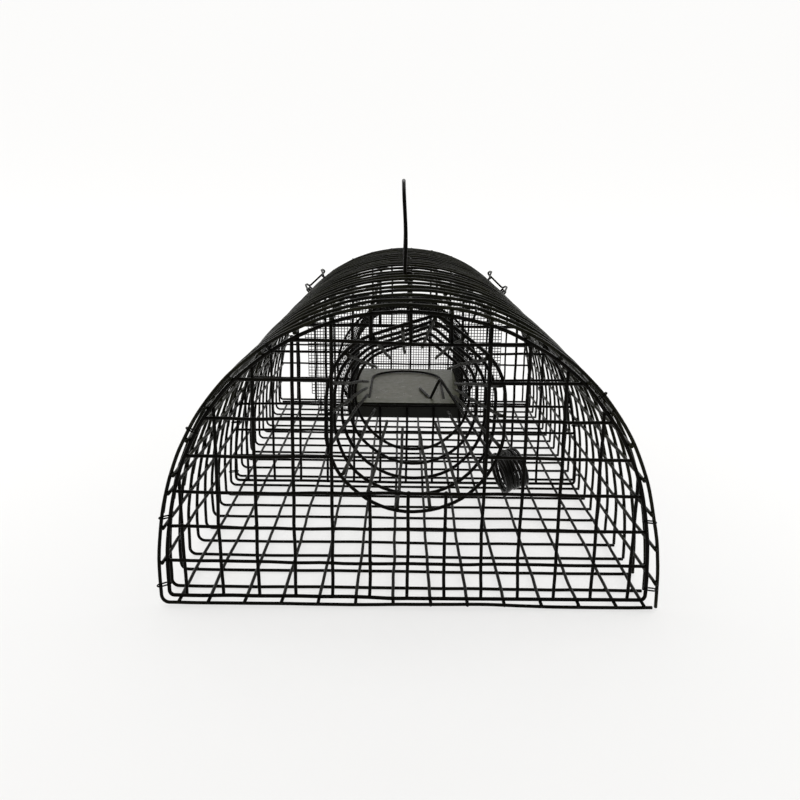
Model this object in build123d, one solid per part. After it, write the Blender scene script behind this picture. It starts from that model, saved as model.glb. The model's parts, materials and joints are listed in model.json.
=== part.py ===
from build123d import *
import math
import os

# Live catch trap: a long arched cage of welded wire mesh with a wire funnel at the front, an inner
# partition, a covered tunnel with a counterweighted tilting flap, an emptying door at the rear,
# two latches and a carrying handle.
# Millimetres. X is across the cage, Y runs from the funnel (front, -Y) to the door (rear, +Y), Z is
# up, and the origin is on the ground at the middle of the overall box.

# --- driving dimensions ---
PITCH = 19.0            # mesh cell, 3/4 inch
CELLS_LONG = 21         # cells from the first hoop to the last
MESH_WIRE = 1.6         # wire of the body mesh
PANEL_WIRE = 1.8        # wire of the end panels' uprights and crossbars
FRAME_WIRE = 2.0        # wire of the end panels' D-shaped frames
TOUCH = 0.02            # gap left between wires that lie on each other
RUN_GAP = 0.3           # gap left between bodies that move past each other
TIE_WIRE = 0.8          # soft wire rings that tie the panels to the body
HINGE_RING_WIRE = 1.2
TIE_CELLS = (0.35, 2.3)                         # ties at the upright sides, in cells
FRONT_TIE_ALONGS = (-126.0, -70.0, 29.5, 102.5)  # ties along the arch from its crown
PARTITION_TIE_ALONGS = (-102.5, 29.5, 102.5)

HALF_WIDTH = 122.5      # D-frame, centre of wire to the middle plane
STRAIGHT_SIDE = 0.3 * PITCH     # upright part of the D-frame's sides
ARCH_RISE = 7.5 * PITCH         # arch above the upright part
SHOULDER_RADIUS = 11.5 * PITCH  # the sides lean in on these wide arcs of the three-centre arch

FRONT_HOOP_Y = -203.6   # first body hoop
LONG_WIRE_END = 0.4     # long wires stick out past the first hoop
FRAME_CORNER = 2.6      # bend of a D-frame's bottom corners
FLOOR_LONG_WIRES = 12   # one cell apart
FLOOR_GRID_LEFT = -121.0    # line from which they are counted
RIGHT_EDGE_INSET = 1.0  # last floor wire inside the right side
ARCH_LONG_CELLS = 11    # arch wires are counted this far each side of the ridge
TRAY_CORNER = 4.0       # bend of the floor sheet up into the left side
TRAY_SIDE_TOP = 3.5     # cells: top of the floor sheet's left side
ARCH_LEFT_FOOT = 2.4    # cells: where the arch sheet starts inside that overlap
FRONT_PANEL_SETBACK = 2.5
PARTITION_CELLS = 8.94  # partition behind the front panel
PARTITION_HOOP = 9      # body hoop that the partition is tied to
PANEL_CELLS_HALF = 6    # uprights each side of the middle one
PANEL_ROWS = range(1, 8)        # crossbars, in cells above the foot
FRONT_CUT_ROWS = (4, 5, 6)      # crossbars cut at the front opening
PARTITION_CUT_ROWS = (4, 5)
CUT_UPRIGHTS = (-1, 0, 1)
MOUTH_HALF_CELLS = 2    # square openings: half width
MOUTH_SILL = 3          # square openings: crossbar below them
MOUTH_TOP = 7           # front opening: crossbar above it
TUNNEL_TOP = 6          # partition opening: crossbar above it

FUNNEL_RINGS = 5
FUNNEL_SHIFT = 2.85     # funnel centre to the right of the middle plane
FUNNEL_HALF_WIDTH = 43.7
FUNNEL_HALF_HEIGHT = 50.8
FUNNEL_CENTRE_Z = 100.8
RING_STEP_WIDTH = 2.6   # each ring is smaller than the one before by this much
RING_STEP_HEIGHT = 4.2
RING_STEP_DROP = 2.1
RING_WIRE = 1.8
PEAK_SHIFT = 0.22       # the rings' pointed top is right of their middle, share of half width
LEFT_ROOF_SLOPE = math.radians(20.0)
RIGHT_ROOF_SLOPE = math.radians(39.0)
PEAK_BEND = 2.5
FINGER_WIRE = 1.8
FINGER_GAP = 0.1        # fingers to rings
FINGER_LENGTH = 5.4 * PITCH
FINGERS_PER_HALF = 8

PLATE_TOP = 62.6        # tunnel floor
PLATE_SHEET = 0.6
PLATE_HALF_WIDTH = 40.5
PLATE_LENGTH = 6.0 * PITCH
FLANGE_DROP = 11.0
SLOT_FRONT = 12.4       # U-shaped hole in the tunnel floor, behind its front edge
SLOT_HALF_WIDTH = 28.0
SLOT_STRAIGHT_END = 80.0
EAR_SIZE = 8.0          # ears that carry the hinge rod
EAR_BESIDE_FLAP = 3.0
ROD_BESIDE_FLAP = 5.0
SCREEN_SHEET = 0.5      # fine mesh taken as a thin sheet
HOOD_HALF_WIDTH = 40.0
HOOD_SIDE = 23.2        # upright part of the hood's sides
HOOD_SHORT = 2.0        # hood ends before the tunnel floor does
PATCH_LEFT, PATCH_RIGHT = -3.75 * PITCH, 3.55 * PITCH
PATCH_BOTTOM, PATCH_TOP = 2.6, 7.05     # cells
PATCH_CORNER = 26.0

SHEET_GAP = 0.1         # between sheets that lie near each other
HINGE_BEHIND_EDGE = 9.0
HINGE_ROD = 2.0
HINGE_FIT = 0.06        # radial play of the rod in its eyes
KNUCKLE_WALL = 0.5
FLAP_SHEET = 0.3
FLAP_DROP = 1.3         # flap's top under the tunnel floor's sheet
FLAP_HALF_WIDTH = 31.0
FLAP_LENGTH = 102.0     # hinge to the rounded end
ARM_TAIL = (10.5, 48.0)     # arm's places on the flap: X, and behind the tunnel's front edge
ARM_BEND = (17.5, 17.0)
ARM_TOP = (23.5, 5.5, 16.5)     # the third number is the height above the tunnel floor
ARM_CORNER = 2.2
ARM_END_RUN = 3.5       # arm lies against the coil this far each side of the coil's top
COIL_WIRE = 2.1         # the arm is the same wire
COIL_STEP = 2.0
COIL_TURNS = 7
COIL_OUTSIDE = 27.0
COIL_ARM_GAP = 0.1
COIL_CENTRE = (67.0, -80.0, 31.5)
COIL_AXIS = (0.95, 0.04, 0.13)

DOOR_WIRE_SHIFT = 5.3   # the door's mesh is set to the right of the others
DOOR_LEAN = 1.2         # degrees: the closed door leans on the last hoop
DOOR_BAR_Y = 202.5      # bottom bar, the door's hinge line
HINGE_RINGS_X = (-85.0, 10.0, 86.0)
SILL_INSET = 2.5        # sill wire in front of the last hoop

LATCH_WIRE = 1.8
LATCH_EYE = 3.95        # radius of an eye's centre line
LATCH_EYE_DEGREES = (400.0, 245.0, 90.0)    # open turn: free end, middle, start of the leg
LATCH_LEG_RUN = 3.0     # leg runs straight back from the eye
LATCH_BENDS = (3.0, 4.0, 2.2, 2.2, 2.2, 2.2, 4.0, 3.0)
LATCH_HALF_SPAN = 10.5
LATCH_FROM_CROWN = 92.5     # along the hoop
LATCH_HOOP = 20
LATCH_REACH = 27.0
LATCH_STEPS = ((13.0, 8.0), (23.0, 7.6), (LATCH_REACH, 4.6))   # behind the hoop, off the hoop

HANDLE_WIRE = 2.5
HANDLE_EYE = 2.5        # radius of an eye's centre line
HANDLE_EYE_DEGREES = (490.0, 335.0, 180.0)
HANDLE_FIRST_GAP, HANDLE_LAST_GAP = 7, 14   # cells in which the two feet stand
HANDLE_RISE = 60.0      # top bar above the ridge wire
HANDLE_CORNER = 16.0

# --- worked-out places ---
FLOOR_HOOP_Z = MESH_WIRE / 2
FLOOR_LONG_Z = FLOOR_HOOP_Z + MESH_WIRE + TOUCH
PANEL_Z = FLOOR_LONG_Z + MESH_WIRE / 2 + FRAME_WIRE / 2 + TOUCH
ARCH_FOOT_Z = PANEL_Z + STRAIGHT_SIDE
CROWN_RADIUS = (HALF_WIDTH**2 + ARCH_RISE**2 - 2 * HALF_WIDTH * SHOULDER_RADIUS) / (
    2 * (ARCH_RISE - SHOULDER_RADIUS)
)
SHOULDER_X = HALF_WIDTH - SHOULDER_RADIUS
CROWN_CENTRE_Z = ARCH_FOOT_Z + ARCH_RISE - CROWN_RADIUS
CROWN_HALF_ANGLE = math.atan(SHOULDER_X / (ARCH_FOOT_Z - CROWN_CENTRE_Z))
LONG_OFFSET = FRAME_WIRE / 2 + MESH_WIRE / 2 + TOUCH     # body's long wires outside the D-frame
HOOP_OFFSET = LONG_OFFSET + MESH_WIRE + TOUCH            # hoops outside the long wires
ARCH_HOOP_SHIFT = MESH_WIRE + TOUCH                      # arch hoops stand beside the floor's
LAST_HOOP_Y = FRONT_HOOP_Y + CELLS_LONG * PITCH
FRONT_PANEL_Y = FRONT_HOOP_Y + FRONT_PANEL_SETBACK
PARTITION_Y = FRONT_PANEL_Y + PARTITION_CELLS * PITCH
UPRIGHT_SETBACK = FRAME_WIRE / 2 + PANEL_WIRE / 2 + TOUCH
RIDGE_Z = ARCH_FOOT_Z + ARCH_RISE + LONG_OFFSET
FIRST_RING_Y = FRONT_PANEL_Y + UPRIGHT_SETBACK + PANEL_WIRE / 2 + RING_WIRE / 2 + TOUCH
SILL_Y = LAST_HOOP_Y - SILL_INSET
PLATE_FRONT_Y = PARTITION_Y + UPRIGHT_SETBACK + PANEL_WIRE / 2 + SHEET_GAP
PATCH_Y = PLATE_FRONT_Y + PLATE_SHEET + SHEET_GAP
HOOD_FRONT_Y = PATCH_Y + SCREEN_SHEET
HOOD_REAR_Y = PLATE_FRONT_Y + PLATE_LENGTH - HOOD_SHORT
HINGE_Y = PLATE_FRONT_Y + HINGE_BEHIND_EDGE
KNUCKLE_RADIUS = HINGE_ROD / 2 + HINGE_FIT + KNUCKLE_WALL
FLAP_TOP = PLATE_TOP - PLATE_SHEET - FLAP_DROP
HINGE_Z = FLAP_TOP - KNUCKLE_RADIUS


def cell_z(n):
    """Height of panel crossbar n."""
    return PANEL_Z + n * PITCH


def hoop_y(k):
    """Y of body hoop k."""
    return FRONT_HOOP_Y + k * PITCH


def straight(start, end, diameter):
    """A straight wire with square-cut ends."""
    start, end = Vector(*start), Vector(*end)
    run = end - start
    return Solid.make_cylinder(diameter / 2, run.length, Plane(origin=start, z_dir=run))


def bent(path, diameter):
    """A wire bent along a path of straight runs and tangent arcs."""
    section = Plane(origin=path @ 0, z_dir=path % 0) * Circle(diameter / 2)
    return sweep(section, path=path)


def arch_point(angle, offset):
    """Point of the arch in X and Z: angle from the crown, offset outside the D-frame's line."""
    side = math.copysign(1, angle)
    if abs(angle) <= CROWN_HALF_ANGLE:
        radius = CROWN_RADIUS + offset
        return radius * math.sin(angle), CROWN_CENTRE_Z + radius * math.cos(angle)
    radius = SHOULDER_RADIUS + offset
    x = side * SHOULDER_X + radius * math.sin(angle)
    return x, ARCH_FOOT_Z + radius * math.cos(angle)


def arch_angle(along, offset):
    """Angle from the crown after a length along the arch at that offset."""
    crown = (CROWN_RADIUS + offset) * CROWN_HALF_ANGLE
    size = abs(along)
    if size <= crown:
        angle = size / (CROWN_RADIUS + offset)
    else:
        angle = CROWN_HALF_ANGLE + (size - crown) / (SHOULDER_RADIUS + offset)
    return math.copysign(angle, along)


def arch_length(offset):
    """Length of half the arch at an offset, crown to the top of the upright side."""
    return (CROWN_RADIUS + offset) * CROWN_HALF_ANGLE + (SHOULDER_RADIUS + offset) * (
        math.pi / 2 - CROWN_HALF_ANGLE
    )


def arch_edges(offset, y, first, last):
    """Arcs of the arch between two angles from the crown, split where the radius changes."""
    turns = [first]
    for joint in (-CROWN_HALF_ANGLE, CROWN_HALF_ANGLE):
        if first < joint < last:
            turns.append(joint)
    turns.append(last)
    edges = []
    for start, end in zip(turns, turns[1:]):
        places = [arch_point(turn, offset) for turn in (start, (start + end) / 2, end)]
        edges.append(ThreePointArc(*[(x, y, z) for x, z in places]))
    return edges


def arch_height(x, offset):
    """Height of the arch above a place across the cage."""
    low, high = 0.0, math.pi / 2
    for _ in range(60):
        middle = (low + high) / 2
        if arch_point(middle, offset)[0] < abs(x):
            low = middle
        else:
            high = middle
    return arch_point(low, offset)[1]


def side_angle(z, offset):
    """Angle from the crown at which the arch is at a height."""
    low, high = 0.0, math.pi / 2
    for _ in range(60):
        middle = (low + high) / 2
        if arch_point(middle, offset)[1] > z:
            low = middle
        else:
            high = middle
    return low


def side_limit(z, offset):
    """Half width of the D-outline at a height."""
    if z <= ARCH_FOOT_Z:
        return HALF_WIDTH + offset
    return arch_point(side_angle(z, offset), offset)[0]


def arch_path(offset, y, left_foot, right_foot):
    """Open path from a height on the left side over the arch and down the right side."""
    right = HALF_WIDTH + offset
    first = -side_angle(left_foot, offset)
    return Wire(
        arch_edges(offset, y, first, math.pi / 2)
        + [Line((right, y, ARCH_FOOT_Z), (right, y, right_foot))]
    )


def d_frame(y, offset=0.0):
    """Closed D-shaped frame of one wire, its ends butt-welded under the arch."""
    wide, low, bend = HALF_WIDTH + offset, PANEL_Z, FRAME_CORNER
    diagonal = bend * (1 - math.sqrt(0.5))
    edges = [Line((0, y, low), (-wide + bend, y, low))]
    edges.append(
        ThreePointArc(
            (-wide + bend, y, low),
            (-wide + diagonal, y, low + diagonal),
            (-wide, y, low + bend),
        )
    )
    edges.append(Line((-wide, y, low + bend), (-wide, y, ARCH_FOOT_Z)))
    edges += arch_edges(offset, y, -math.pi / 2, math.pi / 2)
    edges.append(Line((wide, y, ARCH_FOOT_Z), (wide, y, low + bend)))
    edges.append(
        ThreePointArc(
            (wide, y, low + bend),
            (wide - diagonal, y, low + diagonal),
            (wide - bend, y, low),
        )
    )
    edges.append(Line((wide - bend, y, low), (0, y, low)))
    return bent(Wire(edges), FRAME_WIRE)


def floor_hoops():
    """Floor wires: across the floor, round the left corner and up the left side."""
    wires = []
    side = HALF_WIDTH + HOOP_OFFSET
    top = -side_angle(cell_z(TRAY_SIDE_TOP), HOOP_OFFSET)
    for k in range(CELLS_LONG + 1):
        y = hoop_y(k)
        across = FilletPolyline(
            (side, y, FLOOR_HOOP_Z),
            (-side, y, FLOOR_HOOP_Z),
            (-side, y, ARCH_FOOT_Z),
            radius=TRAY_CORNER,
        )
        upper = arch_edges(HOOP_OFFSET, y, -math.pi / 2, top)
        wires.append(bent(Wire(list(across.edges()) + upper), MESH_WIRE))
    return wires


def arch_hoops():
    """Arch wires: from inside the left overlap over the top and down the right side."""
    wires = []
    for k in range(CELLS_LONG + 1):
        y = hoop_y(k) + ARCH_HOOP_SHIFT
        path = arch_path(HOOP_OFFSET, y, cell_z(ARCH_LEFT_FOOT), MESH_WIRE / 2)
        wires.append(bent(path, MESH_WIRE))
    return wires


def long_wire(x, z):
    """One wire along the whole cage."""
    front = FRONT_HOOP_Y - MESH_WIRE / 2 - LONG_WIRE_END
    rear = LAST_HOOP_Y + ARCH_HOOP_SHIFT + MESH_WIRE / 2 + LONG_WIRE_END / 2
    return straight((x, front, z), (x, rear, z), MESH_WIRE)


def floor_long_wires():
    """Long wires of the floor sheet: the floor and the lower left side."""
    wires = []
    for n in range(1, FLOOR_LONG_WIRES + 1):
        wires.append(long_wire(FLOOR_GRID_LEFT + n * PITCH, FLOOR_LONG_Z))
    wires.append(long_wire(FLOOR_GRID_LEFT + TRAY_CORNER, FLOOR_LONG_Z))
    wires.append(long_wire(HALF_WIDTH - RIGHT_EDGE_INSET, FLOOR_LONG_Z))
    for n in (1, 2, 3):
        wires.append(long_wire(-side_limit(cell_z(n), LONG_OFFSET), cell_z(n)))
    return wires


def arch_long_wires():
    """Long wires of the arch sheet, one cell apart along the arch from the ridge."""
    wires = []
    half = arch_length(LONG_OFFSET)
    seam = cell_z(TRAY_SIDE_TOP)
    for n in range(-ARCH_LONG_CELLS, ARCH_LONG_CELLS + 1):
        along = n * PITCH
        if abs(along) <= half:
            x, z = arch_point(arch_angle(along, LONG_OFFSET), LONG_OFFSET)
        else:
            x, z = HALF_WIDTH + LONG_OFFSET, ARCH_FOOT_Z - (abs(along) - half)
        if n > 0 or z > seam:
            wires.append(long_wire(x, z))
    return wires


def panel_uprights(y, gaps, shift=0.0, offset=0.0):
    """Uprights of a panel. gaps gives, for an upright's number, the heights it is cut between."""
    wires = []
    for k in range(-PANEL_CELLS_HALF, PANEL_CELLS_HALF + 1):
        x = k * PITCH + shift
        top = arch_height(x, offset) + FRAME_WIRE / 2
        bottom = PANEL_Z - FRAME_WIRE / 2
        if k in gaps:
            low, high = gaps[k]
            wires.append(straight((x, y, bottom), (x, y, low), PANEL_WIRE))
            wires.append(straight((x, y, high), (x, y, top), PANEL_WIRE))
        else:
            wires.append(straight((x, y, bottom), (x, y, top), PANEL_WIRE))
    return wires


def panel_crossbars(y, rows, cut_rows, offset=0.0):
    """Crossbars that end on the inside of the D-frame. Those in cut_rows stop at the opening."""
    wires = []
    stop = MOUTH_HALF_CELLS * PITCH + PANEL_WIRE / 2
    for n in rows:
        z = cell_z(n)
        reach = (
            side_limit(z + PANEL_WIRE / 2, offset - FRAME_WIRE / 2 - TOUCH)
            if z > ARCH_FOOT_Z
            else HALF_WIDTH + offset - FRAME_WIRE / 2 - TOUCH
        )
        if n in cut_rows:
            wires.append(straight((-reach, y, z), (-stop, y, z), PANEL_WIRE))
            wires.append(straight((stop, y, z), (reach, y, z), PANEL_WIRE))
        else:
            wires.append(straight((-reach, y, z), (reach, y, z), PANEL_WIRE))
    return wires


def ring_shape(i):
    """Centre height, half width and half height of funnel ring i."""
    return (
        FUNNEL_CENTRE_Z - RING_STEP_DROP * i,
        FUNNEL_HALF_WIDTH - RING_STEP_WIDTH * i,
        FUNNEL_HALF_HEIGHT - RING_STEP_HEIGHT * i,
    )


def shoulder_bend(wide, slope, reach):
    """Radius that turns a ring's upright side into the roof, which rises over reach to the peak."""
    rise = wide - reach * math.tan(slope)
    return rise / (math.cos(slope) - (1 - math.sin(slope)) * math.tan(slope))


def funnel_ring(i):
    """One ring: a round bottom, upright sides and a pointed roof."""
    y = FIRST_RING_Y + i * PITCH
    z, wide, high = ring_shape(i)
    x, rise = FUNNEL_SHIFT, high - wide
    peak = PEAK_SHIFT * wide
    right_eave = z + high - (wide - peak) * math.tan(RIGHT_ROOF_SLOPE)
    left_eave = z + high - (wide + peak) * math.tan(LEFT_ROOF_SLOPE)
    right_bend = shoulder_bend(wide, RIGHT_ROOF_SLOPE, wide - peak)
    left_bend = shoulder_bend(wide, LEFT_ROOF_SLOPE, wide + peak)
    roof = FilletPolyline(
        (x + wide, y, z - rise),
        (x + wide, y, right_eave),
        (x + peak, y, z + high),
        (x - wide, y, left_eave),
        (x - wide, y, z - rise),
        radius=[right_bend, PEAK_BEND, left_bend],
    )
    bottom = ThreePointArc((x - wide, y, z - rise), (x, y, z - high), (x + wide, y, z - rise))
    return bent(Wire(list(roof.edges()) + [bottom]), RING_WIRE)


def roof_distance(angle, wide, inset):
    """Distance from a ring's upper centre to a line inset from its roof, at an angle from +X."""
    slope, reach = RIGHT_ROOF_SLOPE, wide * (1 - PEAK_SHIFT)
    if angle > math.atan2(1, PEAK_SHIFT):
        slope, reach, angle = LEFT_ROOF_SLOPE, wide * (1 + PEAK_SHIFT), math.pi - angle
    bend = shoulder_bend(wide, slope, reach)
    centre = wide - bend
    bend_end = math.atan2(bend * math.cos(slope), centre + bend * math.sin(slope))
    if angle > bend_end:
        return (centre * math.sin(slope) + bend - inset) / math.sin(angle + slope)
    across = centre * math.sin(angle)
    return centre * math.cos(angle) + math.sqrt((bend - inset) ** 2 - across**2)


def finger_point(angle, half, along):
    """Point of a finger: half is +1 in the roof, -1 in the round bottom or 0 at the side."""
    inset = RING_WIRE / 2 + FINGER_WIRE / 2 + FINGER_GAP
    z, wide, high = ring_shape(along / PITCH)
    centre = z + (high - wide) * half
    distance = roof_distance(angle, wide, inset) if half > 0 else wide - inset
    x = FUNNEL_SHIFT + distance * math.cos(angle)
    return x, FIRST_RING_Y + along, centre + distance * math.sin(angle)


def funnel_fingers():
    """Straight pointed-in wires inside the rings, from the first ring past the last."""
    places = [(0.0, 0), (math.pi, 0)]
    for n in range(FINGERS_PER_HALF):
        angle = math.pi * (n + 0.5) / FINGERS_PER_HALF
        places += [(angle, 1), (-angle, -1)]
    return [
        straight(
            finger_point(place, half, FINGER_GAP - RING_WIRE / 2),
            finger_point(place, half, FINGER_LENGTH),
            FINGER_WIRE,
        )
        for place, half in places
    ]


def tunnel_floor():
    """Sheet floor with a hanging front flange, a U-shaped hole and two ears for the hinge rod."""
    middle = PLATE_TOP - PLATE_SHEET / 2
    plate = Pos(0, PLATE_FRONT_Y + PLATE_LENGTH / 2, middle) * Box(
        2 * PLATE_HALF_WIDTH, PLATE_LENGTH, PLATE_SHEET
    )
    flange = Pos(0, PLATE_FRONT_Y + PLATE_SHEET / 2, PLATE_TOP - FLANGE_DROP / 2) * Box(
        2 * PLATE_HALF_WIDTH, PLATE_SHEET, FLANGE_DROP
    )
    straight_run = SLOT_STRAIGHT_END - SLOT_FRONT
    deep = 3 * PLATE_SHEET
    hole = Pos(0, PLATE_FRONT_Y + SLOT_FRONT + straight_run / 2, middle) * Box(
        2 * SLOT_HALF_WIDTH, straight_run, deep
    )
    hole += Pos(0, PLATE_FRONT_Y + SLOT_STRAIGHT_END, middle) * Cylinder(SLOT_HALF_WIDTH, deep)
    floor = plate + flange - hole
    for side in (-1, 1):
        x = side * (FLAP_HALF_WIDTH + EAR_BESIDE_FLAP)
        ear = Pos(x, HINGE_Y, PLATE_TOP - EAR_SIZE / 2) * Box(PLATE_SHEET, EAR_SIZE, EAR_SIZE)
        bore = Pos(x, HINGE_Y, HINGE_Z) * (
            Rot(0, 90, 0) * Cylinder(HINGE_ROD / 2 + HINGE_FIT, deep)
        )
        floor += ear - bore
    return [floor]


def hood_outline(y, grow, foot):
    """Face of the hood's section at y: upright sides and a round top, grown by an amount."""
    wide = HOOD_HALF_WIDTH + grow
    shoulder = PLATE_TOP + HOOD_SIDE
    edges = [
        Line((-wide, y, foot), (-wide, y, shoulder)),
        ThreePointArc((-wide, y, shoulder), (0, y, shoulder + wide), (wide, y, shoulder)),
        Line((wide, y, shoulder), (wide, y, foot)),
        Line((wide, y, foot), (-wide, y, foot)),
    ]
    return Face(Wire(edges))


def tunnel_hood():
    """Fine mesh roof of the tunnel."""
    length = HOOD_REAR_Y - HOOD_FRONT_Y
    outer = extrude(hood_outline(HOOD_FRONT_Y, 0.0, PLATE_TOP), length, dir=(0, 1, 0))
    inner = extrude(
        hood_outline(HOOD_FRONT_Y - 1, -SCREEN_SHEET, PLATE_TOP - 1), length + 2, dir=(0, 1, 0)
    )
    return [outer - inner]


def tunnel_end_screen():
    """Fine mesh wall that closes the tunnel's far end."""
    return [extrude(hood_outline(HOOD_REAR_Y, 0.0, PLATE_TOP), SCREEN_SHEET, dir=(0, 1, 0))]


def hood_rim(y):
    """Wire arch over the hood's mesh."""
    wide = HOOD_HALF_WIDTH + MESH_WIRE / 2 + TOUCH
    shoulder = PLATE_TOP + HOOD_SIDE
    foot = PLATE_TOP + TOUCH
    edges = [
        Line((-wide, y, foot), (-wide, y, shoulder)),
        ThreePointArc((-wide, y, shoulder), (0, y, shoulder + wide), (wide, y, shoulder)),
        Line((wide, y, shoulder), (wide, y, foot)),
    ]
    return bent(Wire(edges), MESH_WIRE)


def partition_screen():
    """Fine mesh patch behind the partition round the tunnel's mouth."""
    width = PATCH_RIGHT - PATCH_LEFT
    height = (PATCH_TOP - PATCH_BOTTOM) * PITCH
    centre_x = (PATCH_LEFT + PATCH_RIGHT) / 2
    centre_z = (cell_z(PATCH_BOTTOM) + cell_z(PATCH_TOP)) / 2
    patch = Pos(centre_x, PATCH_Y + SCREEN_SHEET / 2, centre_z) * Box(
        width, SCREEN_SHEET, height
    )
    corners = patch.edges().filter_by(Axis.Y).group_by(Axis.Z)[-1]
    patch = fillet(corners, PATCH_CORNER)
    deep = 6 * SCREEN_SHEET
    foot = PLATE_TOP - PLATE_SHEET - SHEET_GAP
    front = PATCH_Y - deep / 3
    mouth = extrude(hood_outline(front, -SCREEN_SHEET, foot), deep, dir=(0, 1, 0))
    sill_width = 2 * (PLATE_HALF_WIDTH + SHEET_GAP)
    sill = Pos(0, PATCH_Y, PLATE_TOP) * Box(sill_width, deep, 2 * (PLATE_SHEET + SHEET_GAP))
    return [patch - mouth - sill]


def flap_hinge_rod():
    """Rod through the ears and the flap's rolled edge."""
    reach = FLAP_HALF_WIDTH + ROD_BESIDE_FLAP
    return [straight((-reach, HINGE_Y, HINGE_Z), (reach, HINGE_Y, HINGE_Z), HINGE_ROD)]


def trap_flap():
    """Sheet flap that closes the hole from below, its front edge rolled round the rod."""
    middle = FLAP_TOP - FLAP_SHEET / 2
    straight_run = FLAP_LENGTH - FLAP_HALF_WIDTH
    sheet = Pos(0, HINGE_Y + straight_run / 2, middle) * Box(
        2 * FLAP_HALF_WIDTH, straight_run, FLAP_SHEET
    )
    sheet += Pos(0, HINGE_Y + straight_run, middle) * Cylinder(FLAP_HALF_WIDTH, FLAP_SHEET)
    knuckle = Pos(0, HINGE_Y, HINGE_Z) * (
        Rot(0, 90, 0) * Cylinder(KNUCKLE_RADIUS, 2 * FLAP_HALF_WIDTH)
    )
    bore = Pos(0, HINGE_Y, HINGE_Z) * (
        Rot(0, 90, 0) * Cylinder(HINGE_ROD / 2 + HINGE_FIT, 2 * FLAP_HALF_WIDTH + 2)
    )
    return [sheet + knuckle - bore]


def coil_plane():
    """Plane of the counterweight coil: its axis is the plane's normal."""
    return Plane(origin=COIL_CENTRE, x_dir=(0, 0, 1), z_dir=COIL_AXIS)


def counterweight_coil():
    """Close-wound coil: a ring of round turns side by side."""
    radius = (COIL_OUTSIDE - COIL_WIRE) / 2
    turns = []
    for n in range(COIL_TURNS):
        offset = (n - (COIL_TURNS - 1) / 2) * COIL_STEP
        turns.append(Pos(radius, 0, offset) * (Rot(90, 0, 0) * Circle(COIL_WIRE / 2)))
    section = turns[0]
    for turn in turns[1:]:
        section += turn
    return [coil_plane() * revolve(section, Axis.Z)]


def counterweight_arm():
    """Bent wire from the flap over the tunnel's front edge and down against the coil's end."""
    lie = FLAP_TOP + COIL_WIRE / 2 + TOUCH
    radius = (COIL_OUTSIDE - COIL_WIRE) / 2
    beside = (COIL_TURNS - 1) / 2 * COIL_STEP + COIL_WIRE + COIL_ARM_GAP
    near_coil = (coil_plane() * Pos(radius, -ARM_END_RUN, -beside)).position
    end = (coil_plane() * Pos(radius, ARM_END_RUN, -beside)).position
    tail_x, tail_y = ARM_TAIL
    bend_x, bend_y = ARM_BEND
    top_x, top_y, top_z = ARM_TOP
    path = FilletPolyline(
        (tail_x, PLATE_FRONT_Y + tail_y, lie),
        (bend_x, PLATE_FRONT_Y + bend_y, lie),
        (top_x, PLATE_FRONT_Y + top_y, PLATE_TOP + top_z),
        near_coil,
        end,
        radius=ARM_CORNER,
    )
    return [bent(path, COIL_WIRE)]


def door_place(pieces):
    """Leans the door's pieces about the hinge line."""
    hinge = Pos(0, DOOR_BAR_Y, PANEL_Z)
    return [hinge * Rot(DOOR_LEAN, 0, 0) * hinge.inverse() * piece for piece in pieces]


def rear_sill():
    """Wire across the foot of the rear opening, on the floor's long wires."""
    reach = HALF_WIDTH
    return [straight((-reach, SILL_Y, PANEL_Z), (reach, SILL_Y, PANEL_Z), FRAME_WIRE)]


def wire_loop(first, second, radius, wire, normal):
    """Closed ring of soft wire round two parallel wires: a flat loop with two round ends."""
    first, second, normal = Vector(*first), Vector(*second), Vector(*normal)
    along = (second - first).normalized()
    across = normal.cross(along).normalized() * radius
    tip = along * radius
    edges = [
        Line(first + across, second + across),
        ThreePointArc(second + across, second + tip, second - across),
        Line(second - across, first - across),
        ThreePointArc(first - across, first - tip, first + across),
    ]
    return bent(Wire(edges), wire)


def door_hinge_rings():
    """Wire rings round the sill and the door's bottom bar."""
    wire = HINGE_RING_WIRE
    radius = FRAME_WIRE / 2 + RUN_GAP + wire / 2
    return [
        wire_loop((x, SILL_Y, PANEL_Z), (x, DOOR_BAR_Y, PANEL_Z), radius, wire, (1, 0, 0))
        for x in HINGE_RINGS_X
    ]


def panel_ties(panel_y, hoop, alongs):
    """Wire rings that hold a panel's frame to the nearest hoop."""
    radius = FRAME_WIRE / 2 + TIE_WIRE / 2 + TOUCH
    ties = []
    for n in TIE_CELLS:
        z = cell_z(n)
        for side in (-1, 1):
            y = hoop if side < 0 else hoop + ARCH_HOOP_SHIFT
            outer = (side * side_limit(z, HOOP_OFFSET), y, z)
            inner = (side * side_limit(z, 0.0), panel_y, z)
            ties.append(wire_loop(inner, outer, radius, TIE_WIRE, (0, 0, 1)))
    for along in alongs:
        angle = arch_angle(along, 0.0)
        x, z = arch_point(angle, 0.0)
        outer_x, outer_z = arch_point(angle, HOOP_OFFSET)
        tangent = (math.cos(angle), 0, -math.sin(angle))
        ties.append(
            wire_loop(
                (x, panel_y, z),
                (outer_x, hoop + ARCH_HOOP_SHIFT, outer_z),
                radius,
                TIE_WIRE,
                tangent,
            )
        )
    return ties


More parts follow.
